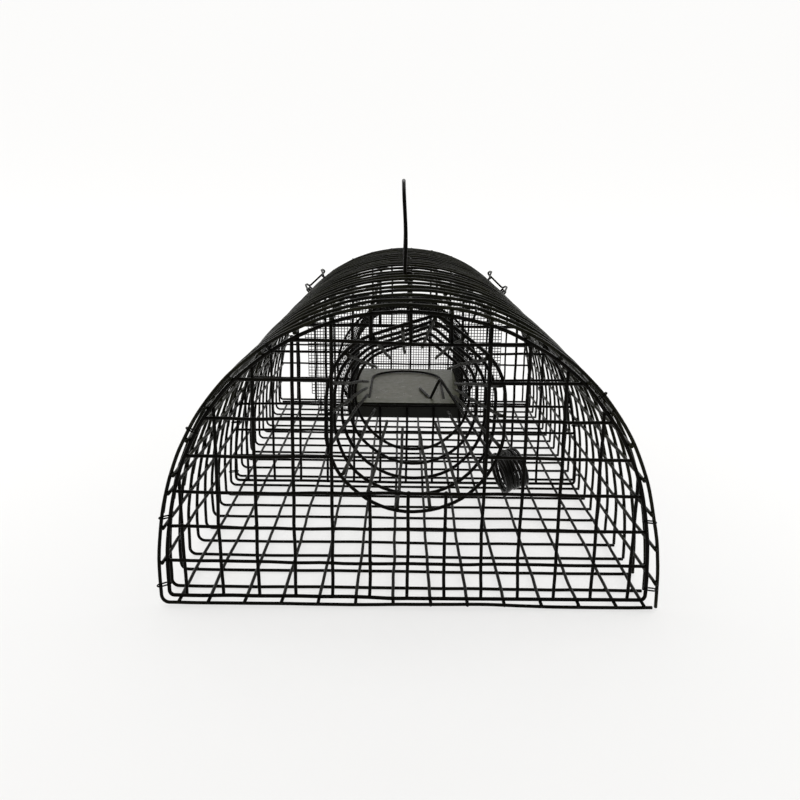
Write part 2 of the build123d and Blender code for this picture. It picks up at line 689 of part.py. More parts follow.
def latch_frame(side):
    """Plane across the cage at a latch: its x runs along the hoop."""
    ends = [
        arch_point(
            side * arch_angle(LATCH_FROM_CROWN + turn * LATCH_HALF_SPAN, HOOP_OFFSET), HOOP_OFFSET
        )
        for turn in (-1, 1)
    ]
    y = hoop_y(LATCH_HOOP) + ARCH_HOOP_SHIFT
    origin = Vector((ends[0][0] + ends[1][0]) / 2, y, (ends[0][1] + ends[1][1]) / 2)
    along = Vector(ends[1][0] - ends[0][0], 0, ends[1][1] - ends[0][1]).normalized()
    return Plane(origin=origin, x_dir=along, z_dir=(0, side, 0))


def latch(side):
    """One wire: an eye round the hoop, a leg to the rear, the bar, a leg back and an eye."""
    plane = latch_frame(side)
    out = 1 if plane.y_dir.Z > 0 else -1

    def place(u, off, back):
        return plane.origin + plane.x_dir * u + plane.y_dir * (out * off) + Vector(0, back, 0)

    def eye(u):
        points = []
        for degrees in LATCH_EYE_DEGREES:
            turn = math.radians(degrees)
            points.append(place(u, LATCH_EYE * math.sin(turn), LATCH_EYE * math.cos(turn)))
        return points

    steps = ((0.0, LATCH_EYE), (LATCH_LEG_RUN, LATCH_EYE)) + LATCH_STEPS
    runs = [place(-LATCH_HALF_SPAN, off, back) for back, off in steps]
    runs += [place(LATCH_HALF_SPAN, off, back) for back, off in reversed(steps)]
    bail = FilletPolyline(*runs, radius=list(LATCH_BENDS))
    first = ThreePointArc(*eye(-LATCH_HALF_SPAN))
    last = ThreePointArc(*reversed(eye(LATCH_HALF_SPAN)))
    return bent(Wire([first] + list(bail.edges()) + [last]), LATCH_WIRE)


def handle():
    """One wire: an eye round the ridge wire, a leg up, the grip bar, a leg down and an eye."""
    near = (hoop_y(HANDLE_FIRST_GAP) + hoop_y(HANDLE_FIRST_GAP + 1)) / 2 + ARCH_HOOP_SHIFT
    far = (hoop_y(HANDLE_LAST_GAP) + hoop_y(HANDLE_LAST_GAP + 1)) / 2 + ARCH_HOOP_SHIFT

    def eye(y):
        points = []
        for degrees in HANDLE_EYE_DEGREES:
            turn = math.radians(degrees)
            points.append(
                Vector(HANDLE_EYE * math.cos(turn), y, RIDGE_Z + HANDLE_EYE * math.sin(turn))
            )
        return points

    top = RIDGE_Z + HANDLE_RISE
    bail = FilletPolyline(
        (-HANDLE_EYE, near, RIDGE_Z),
        (-HANDLE_EYE, near, top),
        (-HANDLE_EYE, far, top),
        (-HANDLE_EYE, far, RIDGE_Z),
        radius=HANDLE_CORNER,
    )
    first = ThreePointArc(*eye(near))
    last = ThreePointArc(*reversed(eye(far)))
    return bent(Wire([first] + list(bail.edges()) + [last]), HANDLE_WIRE)


def write(name, pieces):
    """Writes one node: its pieces stay separate solids."""
    solids = []
    for piece in pieces:
        solids += piece.solids()
    shape = solids[0] if len(solids) == 1 else Compound(children=solids)
    shape.label = name
    export_step(shape, f"parts/{name}.step")
    box = shape.bounding_box()
    volume = sum(solid.volume for solid in solids)
    print(name, len(solids), round(volume), box.min, box.max)


def main():
    os.makedirs("parts", exist_ok=True)
    mouth = {k: (cell_z(MOUTH_SILL), cell_z(MOUTH_TOP)) for k in CUT_UPRIGHTS}
    tunnel = {k: (cell_z(MOUTH_SILL), cell_z(TUNNEL_TOP)) for k in CUT_UPRIGHTS}
    write("floor_hoops", floor_hoops())
    write("floor_long_wires", floor_long_wires())
    write("arch_hoops", arch_hoops())
    write("arch_long_wires", arch_long_wires())
    write("front_frame", [d_frame(FRONT_PANEL_Y)])
    write("front_uprights", panel_uprights(FRONT_PANEL_Y + UPRIGHT_SETBACK, mouth))
    write("front_crossbars", panel_crossbars(FRONT_PANEL_Y, PANEL_ROWS, FRONT_CUT_ROWS))
    for i in range(FUNNEL_RINGS):
        write(f"funnel_ring_{i + 1}", [funnel_ring(i)])
    write("funnel_fingers", funnel_fingers())
    write("partition_frame", [d_frame(PARTITION_Y)])
    write("partition_uprights", panel_uprights(PARTITION_Y + UPRIGHT_SETBACK, tunnel))
    write("partition_crossbars", panel_crossbars(PARTITION_Y, PANEL_ROWS, PARTITION_CUT_ROWS))
    write("partition_screen", partition_screen())
    write("tunnel_floor", tunnel_floor())
    write("tunnel_hood", tunnel_hood())
    write("tunnel_end_screen", tunnel_end_screen())
    write("hood_front_rim", [hood_rim(HOOD_FRONT_Y + MESH_WIRE / 2 + TOUCH)])
    write("hood_rear_rim", [hood_rim(HOOD_REAR_Y - MESH_WIRE)])
    write("flap_hinge_rod", flap_hinge_rod())
    write("trap_flap", trap_flap())
    write("counterweight_arm", counterweight_arm())
    write("counterweight_coil", counterweight_coil())
    write("rear_sill", rear_sill())
    write("door_hinge_rings", door_hinge_rings())
    door_uprights_y = DOOR_BAR_Y + UPRIGHT_SETBACK
    door_uprights = panel_uprights(door_uprights_y, {}, DOOR_WIRE_SHIFT, HOOP_OFFSET)
    door_crossbars = panel_crossbars(DOOR_BAR_Y, PANEL_ROWS, (), HOOP_OFFSET)
    write("door_frame", door_place([d_frame(DOOR_BAR_Y, HOOP_OFFSET)]))
    write("door_uprights", door_place(door_uprights))
    write("door_crossbars", door_place(door_crossbars))
    write("latch_left", [latch(-1)])
    write("latch_right", [latch(1)])
    write("handle", [handle()])
    front_ties = panel_ties(FRONT_PANEL_Y, FRONT_HOOP_Y, FRONT_TIE_ALONGS)
    partition_ties = panel_ties(PARTITION_Y, hoop_y(PARTITION_HOOP), PARTITION_TIE_ALONGS)
    write("front_ties", front_ties)
    write("partition_ties", partition_ties)


main()
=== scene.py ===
"""Live catch trap: the visible wires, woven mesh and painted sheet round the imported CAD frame."""
import json
import math

import bmesh
import bpy
from mathutils import Matrix, Vector, noise


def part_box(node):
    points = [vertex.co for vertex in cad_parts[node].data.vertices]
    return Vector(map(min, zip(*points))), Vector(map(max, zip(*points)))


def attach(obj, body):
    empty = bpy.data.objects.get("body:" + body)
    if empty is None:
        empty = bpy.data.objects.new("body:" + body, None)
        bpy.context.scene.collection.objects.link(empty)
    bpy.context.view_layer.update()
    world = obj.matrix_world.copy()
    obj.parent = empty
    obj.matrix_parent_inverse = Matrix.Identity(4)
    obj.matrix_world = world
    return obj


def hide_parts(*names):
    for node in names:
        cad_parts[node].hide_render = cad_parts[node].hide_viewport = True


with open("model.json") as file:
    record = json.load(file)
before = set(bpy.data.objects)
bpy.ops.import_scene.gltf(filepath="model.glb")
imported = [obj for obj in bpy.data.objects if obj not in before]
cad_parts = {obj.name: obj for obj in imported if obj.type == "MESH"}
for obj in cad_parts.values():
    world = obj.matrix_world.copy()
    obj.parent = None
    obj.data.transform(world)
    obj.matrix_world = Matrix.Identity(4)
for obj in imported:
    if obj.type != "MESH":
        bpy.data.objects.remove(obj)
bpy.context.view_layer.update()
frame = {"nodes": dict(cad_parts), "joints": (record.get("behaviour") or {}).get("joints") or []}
MM = 0.001

# --- sizes read from the frame ---


def middle(node):
    low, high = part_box(node)
    return (low + high) / 2


def extent(node):
    low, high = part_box(node)
    return high - low


JOINTS = {joint["name"]: joint for joint in frame["joints"]}
MESH_R = extent("hood_front_rim").y / 2
FRAME_R = extent("rear_sill").z / 2
PANEL_R = extent("front_crossbars").y / 2
RING_R = extent("funnel_ring_1").y / 2
PAINT_SKIN = 0.1 * MM  # paint on the body's wires
FINGER_R = 0.9 * MM
COIL_R = 1.05 * MM
LATCH_R = 0.9 * MM
HANDLE_R = 1.25 * MM
TOUCH = 0.02 * MM  # gap between two wires that lie on each other

CELLS_LONG = 21
CELLS_HALF = 6
PITCH = (extent("floor_hoops").y - 2 * MESH_R) / CELLS_LONG
HALF_WIDTH = extent("front_frame").x / 2 - FRAME_R
PANEL_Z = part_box("front_frame")[0].z + FRAME_R
CROWN_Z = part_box("front_frame")[1].z - FRAME_R
STRAIGHT_SIDE = 0.3 * PITCH  # upright foot below the arch
SHOULDER_R = 11.5 * PITCH  # the sides' long arcs, which lean in
FOOT_Z = PANEL_Z + STRAIGHT_SIDE
RISE = CROWN_Z - FOOT_Z
CROWN_R = (HALF_WIDTH**2 + RISE**2 - 2 * HALF_WIDTH * SHOULDER_R) / (2 * (RISE - SHOULDER_R))
SHOULDER_X = HALF_WIDTH - SHOULDER_R
CROWN_CENTRE = CROWN_Z - CROWN_R
CROWN_HALF = math.atan(SHOULDER_X / (FOOT_Z - CROWN_CENTRE))
HOOP_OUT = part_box("arch_hoops")[1].x - MESH_R - HALF_WIDTH
LONG_OUT = HOOP_OUT - 2 * MESH_R - TOUCH
FLOOR_HOOP_Z = MESH_R
FLOOR_LONG_Z = 3 * MESH_R + TOUCH
FRONT_HOOP_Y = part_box("floor_hoops")[0].y + MESH_R
ARCH_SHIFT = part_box("arch_hoops")[0].y + MESH_R - FRONT_HOOP_Y
LONG_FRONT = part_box("floor_long_wires")[0].y
LONG_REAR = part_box("floor_long_wires")[1].y
FRONT_Y = middle("front_frame").y
UPRIGHT_BACK = FRAME_R + PANEL_R + TOUCH
PLATE_LOW, PLATE_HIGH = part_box("tunnel_floor")
PLATE_TOP = PLATE_HIGH.z
HOOD_LOW, HOOD_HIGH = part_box("tunnel_hood")
PATCH_LOW, PATCH_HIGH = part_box("partition_screen")
HOOD_HALF = (HOOD_HIGH.x - HOOD_LOW.x) / 2
HOOD_SHOULDER = HOOD_HIGH.z - HOOD_HALF
HOOD_SIDE = HOOD_SHOULDER - HOOD_LOW.z
RIDGE_Z = CROWN_Z + LONG_OUT
TRAY_TOP_CELLS = 3.5  # the floor sheet's upper edge on the left side
ARCH_START_CELLS = 2.4  # the arch sheet's lower edge on the left side
TRAY_BEND = 4.0 * MM
FRAME_BEND = 2.6 * MM
FIRST_FLOOR_CELL = 1.5 * MM  # the floor mesh starts this far inside the left side
RIGHT_EDGE_IN = 1.0 * MM  # the last floor wire from the right side
FLOOR_CELLS = 12
SIDE_ROWS = (1, 2, 3)  # the floor sheet's long wires up the left side
ARCH_ROWS = 11  # long wires each side of the ridge wire
CURVE_STEP = 5 * MM  # longest step along a bent wire
STRAIGHT_STEP = 6 * MM  # longest step along a straight wire
ARCH_STEP = 4 * MM
ARCH_SPARE = 1.1  # a few more steps than the arch's mean radius needs

# --- points and outlines ---

HALVINGS = 50  # steps of each search along the arch


def cell_z(n):
    return PANEL_Z + n * PITCH


def hoop_y(k):
    return FRONT_HOOP_Y + k * PITCH


def arch_point(angle, out):
    """Place on the arch in X and Z, at an angle from the crown and a distance outside the frame."""
    if abs(angle) <= CROWN_HALF:
        radius = CROWN_R + out
        return radius * math.sin(angle), CROWN_CENTRE + radius * math.cos(angle)
    radius = SHOULDER_R + out
    x = math.copysign(1, angle) * SHOULDER_X + radius * math.sin(angle)
    return x, FOOT_Z + radius * math.cos(angle)


def arch_angle(along, out):
    """Angle from the crown after a length along the arch."""
    crown = (CROWN_R + out) * CROWN_HALF
    size = abs(along)
    angle = size / (CROWN_R + out)
    if size > crown:
        angle = CROWN_HALF + (size - crown) / (SHOULDER_R + out)
    return math.copysign(angle, along)


def half_arch(out):
    return (CROWN_R + out) * CROWN_HALF + (SHOULDER_R + out) * (math.pi / 2 - CROWN_HALF)


def angle_where(test):
    """Largest angle from the crown for which the test of a point still holds."""
    low, high = 0.0, math.pi / 2
    for _ in range(HALVINGS):
        mid = (low + high) / 2
        if test(mid):
            low = mid
        else:
            high = mid
    return low


def height_at(x, out):
    return arch_point(angle_where(lambda a: arch_point(a, out)[0] < abs(x)), out)[1]


def width_at(z, out):
    if z <= FOOT_Z:
        return HALF_WIDTH + out
    return arch_point(angle_where(lambda a: arch_point(a, out)[1] > z), out)[0]


def arch_run(out, first=-math.pi / 2, last=math.pi / 2):
    """Points in X and Z along part of the arch, from one angle to another."""
    mean_radius = (SHOULDER_R + CROWN_R) / 2
    count = max(2, int(abs(last - first) * ARCH_SPARE * mean_radius / ARCH_STEP))
    return [arch_point(first + (last - first) * i / count, out) for i in range(count + 1)]


def at_y(points, y):
    return [Vector((x, y, z)) for x, z in points]


def rounded(points, radii, arc_steps=6):
    """Polyline through points with its corners rounded to the given radii."""
    points = [Vector(p) for p in points]
    if not hasattr(radii, "__len__"):
        radii = [radii] * (len(points) - 2)
    out = [points[0]]
    for before, corner, after, radius in zip(points, points[1:], points[2:], radii):
        a = (before - corner).normalized()
        b = (after - corner).normalized()
        half = a.angle(b) / 2
        cut = radius / math.tan(half)
        centre = corner + (a + b).normalized() * (radius / math.sin(half))
        start, end = corner + a * cut, corner + b * cut
        u, v = (start - centre), (end - centre)
        sweep = u.angle(v)
        for i in range(arc_steps + 1):
            t = i / arc_steps
            mix = u * math.sin((1 - t) * sweep) + v * math.sin(t * sweep)
            out.append(centre + mix / math.sin(sweep))
    out.append(points[-1])
    return out


def spaced(points, step):
    """The same line with extra points so that none are further apart than step."""
    out = [points[0]]
    for a, b in zip(points, points[1:]):
        count = max(1, math.ceil((b - a).length / step))
        out += [a.lerp(b, i / count) for i in range(1, count + 1)]
    return out


def straight(start, end):
    return spaced([Vector(start), Vector(end)], STRAIGHT_STEP)


def as_it_is(point):
    return point


DRIFT_LENGTH = 62 * MM
DRIFT_SIZE = 0.9 * MM
KINK_LENGTH = 17 * MM
KINK_SIZE = 0.42 * MM
NOISE_OFFSETS = (Vector((9.3, -1.5, -8.0)), Vector((0.0, 0.0, 0.0)), Vector((6.3, 0.2, -2.7)))
FLOOR_GUARD = 6 * MM  # below this height the wires are less uneven up and down

# Each group of wires starts its own unevenness at its own number.
OWN_APART = (7.3, 3.1, 1.0)  # from one number to the next, in the noise's own space
OWN_FLOOR_LONG = 40
OWN_ARCH_HOOP = 80
OWN_ARCH_LONG = 120
OWN_FRAME = 160
OWN_UPRIGHT = 200
OWN_CROSSBAR = 240
OWN_RING = 300
OWN_FINGER = 320
OWN_RIM = 350


def noise_shift(place):
    """Three noise values as a vector. noise.noise_vector gives other values in other runs."""
    return Vector([noise.noise(place + offset) for offset in NOISE_OFFSETS])


def wobble(point, own=0.0, strength=1.0):
    """Hand-made unevenness: a slow drift that all wires share and a little of each wire's own."""
    slow = noise_shift(point / DRIFT_LENGTH) * DRIFT_SIZE
    apart = Vector([own * part for part in OWN_APART])
    fast = noise_shift(point / KINK_LENGTH + apart) * KINK_SIZE
    shift = (slow + fast) * strength
    shift.z *= min(1.0, max(0.0, point.z / FLOOR_GUARD))
    return point + shift


# --- mesh making ---

WIRE_SIDES = 10
THICK_SIDES = 12  # for the handle and the counterweight
WEAVE_SIDES = 5
DOME_RISE = 0.25  # a wire's end cap, as shares of its radius
DOME_WIDTH = 0.7
BEAD_LEVELS = (0.5, 0.0, -0.5)
BEAD_AROUND = 7
BEAD_ROUNDNESS = 1.2
MESH_BEAD = (1.25, 0.85)  # a bead's width and height, in radii of its wire
PANEL_BEAD = (1.25, 0.95)
RING_BEAD = (1.3, 1.0)


def add_object(name, data):
    item = bpy.data.objects.new(name, data)
    bpy.context.scene.collection.objects.link(item)
    return item


class Shape:
    """Collects tubes and beads, and becomes one mesh object."""

    def __init__(self):
        self.verts = []
        self.faces = []

    def tube(self, points, radius, sides=WIRE_SIDES, closed=False, domed=True):
        """A round wire along points, with slightly domed ends or closed on itself."""
        points = [Vector(p) for p in points]
        count = len(points)
        tangents = []
        for i in range(count):
            before = points[i - 1] if i or closed else points[i]
            after = points[(i + 1) % count] if i < count - 1 or closed else points[i]
            tangents.append((after - before).normalized())
        side = tangents[0].orthogonal().normalized()
        sides_list = [side]
        for before, here in zip(tangents, tangents[1:]):
            side = before.rotation_difference(here) @ side
            side = (side - here * side.dot(here)).normalized()
            sides_list.append(side)
        twist = 0.0
        if closed:
            back = tangents[-1].rotation_difference(tangents[0]) @ sides_list[-1]
            first = sides_list[0]
            twist = math.atan2(back.cross(first).dot(tangents[0]), back.dot(first))
        rings = []
        for i, (point, tangent, side) in enumerate(zip(points, tangents, sides_list)):
            turn = twist * i / count
            rings.append(self._ring(point, tangent, side, radius, sides, turn))
        if closed:
            pairs = list(zip(rings, rings[1:] + rings[:1]))
        else:
            if domed:
                start = points[0] - tangents[0] * radius * DOME_RISE
                end = points[-1] + tangents[-1] * radius * DOME_RISE
                narrow = radius * DOME_WIDTH
                rings.insert(0, self._ring(start, tangents[0], sides_list[0], narrow, sides, 0))
                rings.append(self._ring(end, tangents[-1], sides_list[-1], narrow, sides, 0))
            pairs = list(zip(rings, rings[1:]))
            self.faces.append([rings[0] + j for j in reversed(range(sides))])
            self.faces.append([rings[-1] + j for j in range(sides)])
        for a, b in pairs:
            for j in range(sides):
                k = (j + 1) % sides
                self.faces.append([a + j, a + k, b + k, b + j])

    def _ring(self, point, tangent, side, radius, sides, turn):
        start = len(self.verts)
        up = tangent.cross(side)
        for j in range(sides):
            angle = turn + 2 * math.pi * j / sides
            spoke = side * math.cos(angle) + up * math.sin(angle)
            self.verts.append(point + spoke * radius)
        return start

    def bead(self, centre, size, normal):
        """A small flattened blob of paint and weld where two wires cross."""
        start = len(self.verts)
        normal = Vector(normal).normalized()
        u = normal.orthogonal().normalized()
        v = normal.cross(u)
        self.verts.append(centre + normal * size.z)
        around = BEAD_AROUND
        for level in BEAD_LEVELS:
            wide = math.cos(level * math.pi / 2 * BEAD_ROUNDNESS)
            for j in range(around):
                angle = 2 * math.pi * j / around
                self.verts.append(
                    centre
                    + normal * (size.z * math.sin(level * math.pi / 2))
                    + u * (size.x * wide * math.cos(angle))
                    + v * (size.y * wide * math.sin(angle))
                )
        self.verts.append(centre - normal * size.z)
        last = len(self.verts) - 1
        for j in range(around):
            k = (j + 1) % around
            self.faces.append([start, start + 1 + j, start + 1 + k])
            for level in range(len(BEAD_LEVELS) - 1):
                a = start + 1 + level * around
                self.faces.append([a + j, a + around + j, a + around + k, a + k])
            a = start + 1 + (len(BEAD_LEVELS) - 1) * around
            self.faces.append([a + j, last, a + k])

    def make(self, name, material, nodes, body="cage", slot_name="cage_wire"):
        """Ends the shape as one object on a body, in place of the CAD nodes it shows."""
        mesh = bpy.data.meshes.new(name)
        mesh.from_pydata([tuple(v) for v in self.verts], [], self.faces)
        mesh.polygons.foreach_set("use_smooth", [True] * len(mesh.polygons))
        mesh.update()
        mesh.materials.append(material)
        piece = add_object(name, mesh)
        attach(piece, body)
        if nodes:
            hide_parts(*nodes)


# --- materials ---

PAINT_IOR = 1.13  # low, so that the black wires stay dark in a bright studio
SHEET_IOR = 1.5
WIRE_GLOSS = (0.22, 0.42)  # lowest and highest roughness
NOISE_LOW = 0.3  # the range in which most of a noise texture's values lie
NOISE_HIGH = 0.7


def map_range(tree, source, old, new):
    """Turns values of one range into another, held at its ends."""
    node = tree.nodes.new("ShaderNodeMapRange")
    node.inputs["From Min"].default_value, node.inputs["From Max"].default_value = old
    node.inputs["To Min"].default_value, node.inputs["To Max"].default_value = new
    tree.links.new(source, node.inputs["Value"])
    return node.outputs["Result"]


class Nodes:
    """Short helper for building a node material."""

    def __init__(self, name):
        self.material = bpy.data.materials.new(name)
        self.material.use_nodes = True
        self.tree = self.material.node_tree
        self.tree.nodes.clear()
        self.shader = self.add("BsdfPrincipled")
        self.link(self.shader.outputs["BSDF"], self.add("OutputMaterial").inputs["Surface"])
        self.coords = self.add("TexCoord").outputs["Object"]

    def link(self, a, b):
        self.tree.links.new(a, b)

    def add(self, kind, **numbers):
        """A node with some of its sockets set."""
        node = self.tree.nodes.new(f"ShaderNode{kind}")
        for socket, number in numbers.items():
            node.inputs[socket].default_value = number
        return node

    def noise(self, scale, detail, rough=0.55):
        node = self.add("TexNoise", Scale=scale, Detail=detail, Roughness=rough)
        self.link(self.coords, node.inputs["Vector"])
        return node.outputs["Fac"]

    def ramp(self, source, stops):
        node = self.add("ValToRGB")
        ramp = node.color_ramp
        for index, (place, colour) in enumerate(stops):
            element = ramp.elements[index] if index < 2 else ramp.elements.new(place)
            element.position = place
            element.color = (*colour, 1.0)
        self.link(source, node.inputs["Fac"])
        return node.outputs["Color"]

    def span(self, source, low, high):
        return map_range(self.tree, source, (NOISE_LOW, NOISE_HIGH), (low, high))

    def bump(self, source, distance, strength, normal=None):
        node = self.add("Bump", Distance=distance, Strength=strength)
        self.link(source, node.inputs["Height"])
        if normal is not None:
            self.link(normal, node.inputs["Normal"])
        return node.outputs["Normal"]


def wire_paint(name, dark, light, gloss=WIRE_GLOSS, ior=PAINT_IOR, peel_strength=0.35):
    """Thick gloss paint over wire: slow colour drift, dull patches, orange peel and lumps."""
    m = Nodes(name)
    drift = m.noise(55.0, 4.0)
    m.link(m.ramp(drift, ((0.35, dark), (0.68, light))), m.shader.inputs["Base Color"])
    m.link(m.span(m.noise(210.0, 2.0), *gloss), m.shader.inputs["Roughness"])
    peel = m.bump(m.noise(900.0, 2.0), 0.12 * MM, peel_strength)
    lumps = m.bump(m.noise(160.0, 2.0), 0.3 * MM, peel_strength * 0.9, peel)
    m.link(lumps, m.shader.inputs["Normal"])
    m.shader.inputs["IOR"].default_value = ior
    return m.material


def sheet_paint(name, dark, light, ior=SHEET_IOR):
    """Satin paint on thin sheet: faint mottling, fine scuffs and shallow dents."""
    m = Nodes(name)
    mottle = m.noise(70.0, 6.0, 0.6)
    m.link(m.ramp(mottle, ((0.3, dark), (0.7, light))), m.shader.inputs["Base Color"])
    m.link(m.span(m.noise(240.0, 4.0), 0.26, 0.42), m.shader.inputs["Roughness"])
    fine = m.bump(m.noise(1100.0, 2.0), 0.06 * MM, 0.25)
    m.link(m.bump(m.noise(34.0, 2.0), 0.8 * MM, 0.25, fine), m.shader.inputs["Normal"])
    m.shader.inputs["IOR"].default_value = ior
    return m.material


CAGE_PAINT = wire_paint("cage_paint", (0.0008, 0.0007, 0.0002), (0.0046, 0.0042, 0.0017))
# The arch wires' paint: a lighter copy of the cage paint, its raised base colour is painted sheen
# for the arch's flanks.
ARCH_SHEEN_PAINT = wire_paint(
    "arch_painted_sheen", (0.0022, 0.0023, 0.0007), (0.0105, 0.0104, 0.0042), WIRE_GLOSS, 1.15
)
PANEL_PAINT = wire_paint("panel_paint", (0.0007, 0.0005, 0.0002), (0.0038, 0.0031, 0.0014))
# The fingers' paint: a lighter copy of the rings' paint, its raised base colour is painted sheen on
# the fingers.
FINGER_SHEEN_PAINT = wire_paint("finger_painted_sheen", (0.0020, 0.0019, 0.0010), (0.0110, 0.0105, 0.0068))
TIE_PAINT = wire_paint("tie_paint", (0.0012, 0.0011, 0.0006), (0.0045, 0.0042, 0.0025))
# The counterweight wire's own dark paint, with a base colour a little lighter than the cage paint as
# painted sheen for the arm's reflection of the bright back.
WEIGHT_PAINT_AND_SHEEN = wire_paint(
    "weight_paint_and_painted_sheen", (0.0012, 0.0012, 0.0006), (0.0060, 0.0058, 0.0036), (0.14, 0.26), 1.24, 0.1
)
MESH_PAINT = wire_paint("mesh_paint", (0.0020, 0.0019, 0.0011), (0.0080, 0.0076, 0.0052), (0.3, 0.5))
FLOOR_SHEET = sheet_paint("floor_sheet", (0.0620, 0.0635, 0.0380), (0.0880, 0.0895, 0.0580))
# The flange's paint: a much darker copy of the floor sheet's paint, painted shade on the sheet's
# front face.
FLANGE_PAINTED_SHADE = sheet_paint("flange_painted_shade", (0.0040, 0.0043, 0.0022), (0.0076, 0.0081, 0.0044), 1.25)
FLAP_SHEET = sheet_paint("flap_sheet", (0.0660, 0.0635, 0.0390), (0.0920, 0.0885, 0.0580))

# --- cage body ---


def crossing_bead(shape, point, normal):
    """A weld bead at a crossing of the body mesh, a little different each time."""
    width, height = MESH_BEAD
    vary = 1.0 + 0.25 * noise.noise(point * 900)
    size = Vector((width * vary, width * vary, height)) * MESH_R
    shape.bead(wobble(point), size, normal)


def long_wires(places, first_own, bend):
    """The straight wires of a sheet, from front to rear, each at its place in X and Z."""
    wires = Shape()
    for own, (x, z) in enumerate(places, first_own):
        calm = RIDGE_CALM if abs(x) < MESH_R and z > PANEL_Z else 1.0
        line = straight((x, LONG_FRONT, z), (x, LONG_REAR, z))
        wires.tube([bend(wobble(p, own, calm)) for p in line], MESH_R + PAINT_SKIN)
    return wires


def floor_long_places():
    """X and Z of the long wires of the floor sheet."""
    left = -HALF_WIDTH + FIRST_FLOOR_CELL
    places = [(left + PITCH * (k + 1), FLOOR_LONG_Z) for k in range(FLOOR_CELLS)]
    places.append((left + TRAY_BEND, FLOOR_LONG_Z))
    places.append((HALF_WIDTH - RIGHT_EDGE_IN, FLOOR_LONG_Z))
    places += [(-width_at(cell_z(n), LONG_OUT), cell_z(n)) for n in SIDE_ROWS]
    return places


def arch_long_places():
    """X, Z and angle from the crown of the long wires of the arch sheet."""
    places = []
    half = half_arch(LONG_OUT)
    seam = cell_z(TRAY_TOP_CELLS)
    for n in range(-ARCH_ROWS, ARCH_ROWS + 1):
        along = n * PITCH
        angle = arch_angle(along, LONG_OUT)
        if abs(along) <= half:
            x, z = arch_point(angle, LONG_OUT)
        else:
            angle = math.copysign(math.pi / 2, along)
            x, z = HALF_WIDTH + LONG_OUT, FOOT_Z - (abs(along) - half)
        if n > 0 or z > seam:
            places.append((x, z, angle))
    return places


def floor_hoop_line(k):
    """Floor wire k: right edge, floor, left corner, up the left side."""
    y = hoop_y(k)
    side = HALF_WIDTH + HOOP_OUT
    top = -angle_where(lambda a: arch_point(a, HOOP_OUT)[1] > cell_z(TRAY_TOP_CELLS))
    line = rounded(
        [(side, y, FLOOR_HOOP_Z), (-side, y, FLOOR_HOOP_Z), (-side, y, FOOT_Z)], TRAY_BEND
    )
    return line + at_y(arch_run(HOOP_OUT, -math.pi / 2, top)[1:], y)


def arch_hoop_line(k):
    """Arch wire k: inside the left overlap, over the top, down the right side."""
    y = hoop_y(k) + ARCH_SHIFT
    side = HALF_WIDTH + HOOP_OUT
    start = -angle_where(lambda a: arch_point(a, HOOP_OUT)[1] > cell_z(ARCH_START_CELLS))
    line = at_y(arch_run(HOOP_OUT, start), y)
    line.append(Vector((side, y, MESH_R)))
    return line


RIDGE_CALM = 0.15  # the ridge wire is straighter, so that the handle turns on it
FOOT_CALM_HEIGHT = 16 * MM  # and so is the door's foot, where its hinge rings are
WAVE_OUT = 0.5 * MM  # the first floor wire's bends
WAVE_RISE = 0.9 * MM
WAVE_LENGTHS = (19 * MM, 31 * MM)
WAVE_HEIGHT = 20 * MM  # the bends die out up to this height
SPLAY = 2.4 * MM  # outwards at the front right foot
SPLAY_HEIGHT = 62 * MM
SPLAY_LENGTH = 90 * MM


def front_wave(point):
    """The first floor wire is bent in and out between its ties."""
    short, long = WAVE_LENGTHS
    wave = math.sin(point.x / short) * 0.5 + math.sin(point.x / long + 1.0) * 0.5
    flat = max(0.0, 1.0 - point.z / WAVE_HEIGHT)
    return point + Vector((0, -WAVE_OUT * wave, WAVE_RISE + WAVE_RISE * wave)) * flat


def make_floor_sheet():
    """The floor and the lower left side: two layers of wire welded at their crossings."""
    hoops = Shape()
    for k in range(CELLS_LONG + 1):
        line = spaced(floor_hoop_line(k), CURVE_STEP)
        if k == 0:
            line = [front_wave(p) for p in line]
        hoops.tube([wobble(p, k) for p in line], MESH_R + PAINT_SKIN)
    places = floor_long_places()
    for x, z in places:
        on_floor = z < cell_z(0)
        for k in range(CELLS_LONG + 1):
            if on_floor:
                point = Vector((x, hoop_y(k), (FLOOR_LONG_Z + FLOOR_HOOP_Z) / 2))
                crossing_bead(hoops, point, (0, 0, 1))
            else:
                crossing_bead(hoops, Vector((x - MESH_R, hoop_y(k), z)), (1, 0, 0))
    hoops.make("floor_hoop_wires", CAGE_PAINT, ["floor_hoops"])
    longs = long_wires(places, OWN_FLOOR_LONG, as_it_is)
    longs.make("floor_long_wire_set", CAGE_PAINT, ["floor_long_wires"])


def splay(point):
    """The arch wires' cut ends at the front right foot are bent out a little."""
    low = max(0.0, 1.0 - point.z / SPLAY_HEIGHT)
    near = max(0.0, 1.0 - (point.y - FRONT_HOOP_Y) / SPLAY_LENGTH)
    if point.x < 0:
        return point
    return point + Vector((SPLAY * low * min(1.0, near), 0, 0))


